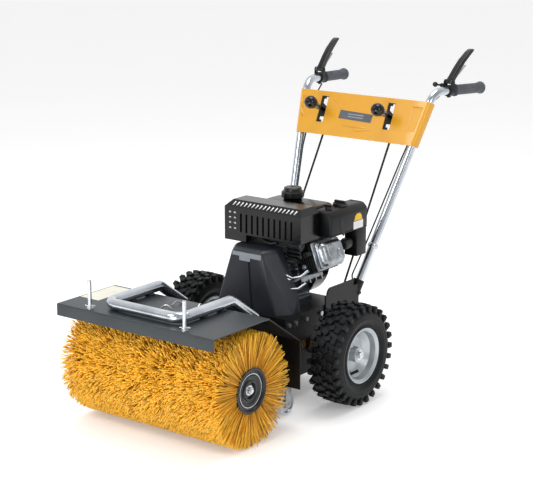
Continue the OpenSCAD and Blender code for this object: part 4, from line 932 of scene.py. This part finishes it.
# finishes of the CAD nodes that are not replaced, and of the replaced ones beneath
nodeFinish = {
    "blackPowderCoat": ("chassis_box", "engine_deck", "bottom_cover", "handle_brackets", "lever_mounts",
                        "panel_frame"),
    "headPowderCoat": ("head_frame", "rear_guard", "gearbox", "speed_rod", "swivel_rod"),
    "glossBlackEnamel": ("muffler_guard", "fan_housing", "recoil_cover"),
    "zincPlate": ("deck_bolts", "swivel_pins", "accessory_pins", "left_caster_fork", "right_caster_fork",
                  "left_caster_wheel", "right_caster_wheel"),
    "sinteredBronze": ("axle_bushes",),
    "castAlloy": ("crankcase", "carburettor", "rocker_cover"),
    "heatPaint": ("cylinder",),
    "blackMoulding": ("brush_core", "starter_grip", "spark_plug", "oil_dipstick", "choke_knob",
                      "throttle_knob", "heater_box", "fuel_cap", "left_clutch_lever", "right_clutch_lever"),
    "glossMoulding": ("speed_lever", "swivel_lever", "lock_knob"),
    "dulledSteel": ("muffler",),
    "beltRubber": ("drive_belts", "clutch_cables", "friction_wheel"),
    "satinChrome": ("left_handle_tube", "right_handle_tube", "bumper"),
    "machinedSteel": ("crankshaft", "drive_shaft", "axle", "worm_shaft"),
    "castIron": ("brush_pulley", "friction_disc"),
    "silverPaint": ("wheel_rims",),
    "tyreRubber": ("tyres",),
    "amberEnamel": ("control_panel",),
    "nitrileFoam": ("grips",),
    "slateEnamel": ("hood",),
    "charcoalMoulding": ("belt_cover",),
    "tankEnamel": ("fuel_tank",),
    "polypropyleneStrand": ("bristles",),
}
for finishName, nodeNames in nodeFinish.items():
    for nodeName in nodeNames:
        for slot in nodes[nodeName].material_slots:
            slot.material = bpy.data.materials[finishName]
print("node finishes ready")

studio = {"wallWay": (-0.6, 0.8, 0.1), "wallDim": 0.45, "wallBright": 1.04, "floorGlow": 0.22,
          "floorSize": 30, "floorDrop": 0.0005,
          "lights": {"keyLight": ((-1.2, -3.2, 3.2), (0, -0.1, 0.4), 1.6, 52),
                     "fillLight": ((3.6, -1.2, 2.2), (0, 0, 0.4), 1.4, 24),
                     "brushLight": ((0.3, -2.5, 0.6), (0, -0.6, 0.18), 1.0, 15),
                     "topLight": ((0.2, 0.4, 3.6), (0, 0, 0.4), 1.8, 40)}}  # place, target, size, power


def makeWalls():
    # white behind the machine and shaded behind the viewer, which shapes dark and bright metal alike
    world = bpy.data.worlds.new("studioWorld")
    bpy.context.scene.world = world
    world.use_nodes = True
    tree = world.node_tree
    background = tree.nodes["Background"]
    background.inputs["Color"].default_value = linear("#ffffff")
    wallWay = addNode(tree, "TexCoord").outputs["Generated"]
    facing = addNode(tree, "VectorMath", {"operation": "DOT_PRODUCT"}, {0: wallWay})
    facing.inputs[1].default_value = studio["wallWay"]
    shade = addNode(tree, "MapRange", {"From Min": -0.2, "From Max": 0.75, "To Min": studio["wallDim"],
                                       "To Max": studio["wallBright"]}, {"Value": facing.outputs["Value"]})
    tree.links.new(shade.outputs[0], background.inputs["Strength"])


def makeFloor():
    material, tree, surface = newMaterial("paleFloor", Roughness=0.75)
    surface.inputs["Emission Color"].default_value = linear("#ffffff")
    surface.inputs["Emission Strength"].default_value = studio["floorGlow"]
    cloud = noiseOn(tree, addNode(tree, "TexCoord").outputs["Object"], 400, 3)
    blend = addNode(tree, "Mix", {"data_type": "RGBA"}, {"Factor": cloud})
    blend.inputs[6].default_value = linear("#fbfbfb")
    blend.inputs[7].default_value = linear("#ffffff")
    tree.links.new(blend.outputs[2], surface.inputs["Base Color"])
    mesh = bpy.data.meshes.new("studioFloor")
    bm = bmesh.new()
    bmesh.ops.create_grid(bm, x_segments=1, y_segments=1, size=studio["floorSize"])
    bm.to_mesh(mesh)
    bm.free()
    mesh.materials.append(material)
    floor = bpy.data.objects.new("studioFloor", mesh)
    floor.location.z = -studio["floorDrop"]
    bpy.context.scene.collection.objects.link(floor)


def addLight(name, spot, target, size, power):
    light = bpy.data.lights.new(name, "AREA")
    light.size, light.energy = size, power
    lamp = bpy.data.objects.new(name, light)
    lamp.location = spot
    lamp.rotation_euler = (Vector(target) - Vector(spot)).to_track_quat("-Z", "Y").to_euler()
    bpy.context.scene.collection.objects.link(lamp)


makeWalls()
makeFloor()
for lightName, light in studio["lights"].items():
    addLight(lightName, *light)

view = {"place": (2.8788, -3.9067, 1.6701), "down": 14.24, "round": 37.12, "lens": 104.56, "sensor": 36}
cameraData = bpy.data.cameras.new("mainCamera")
cameraData.sensor_width = view["sensor"]
cameraData.lens = view["lens"]
camera = bpy.data.objects.new("mainCamera", cameraData)
camera.location = view["place"]
camera.rotation_euler = (radians(90 - view["down"]), 0, radians(view["round"]))
bpy.context.scene.collection.objects.link(camera)
bpy.context.scene.camera = camera
bpy.context.scene.view_settings.view_transform = "Standard"

print("studio ready")
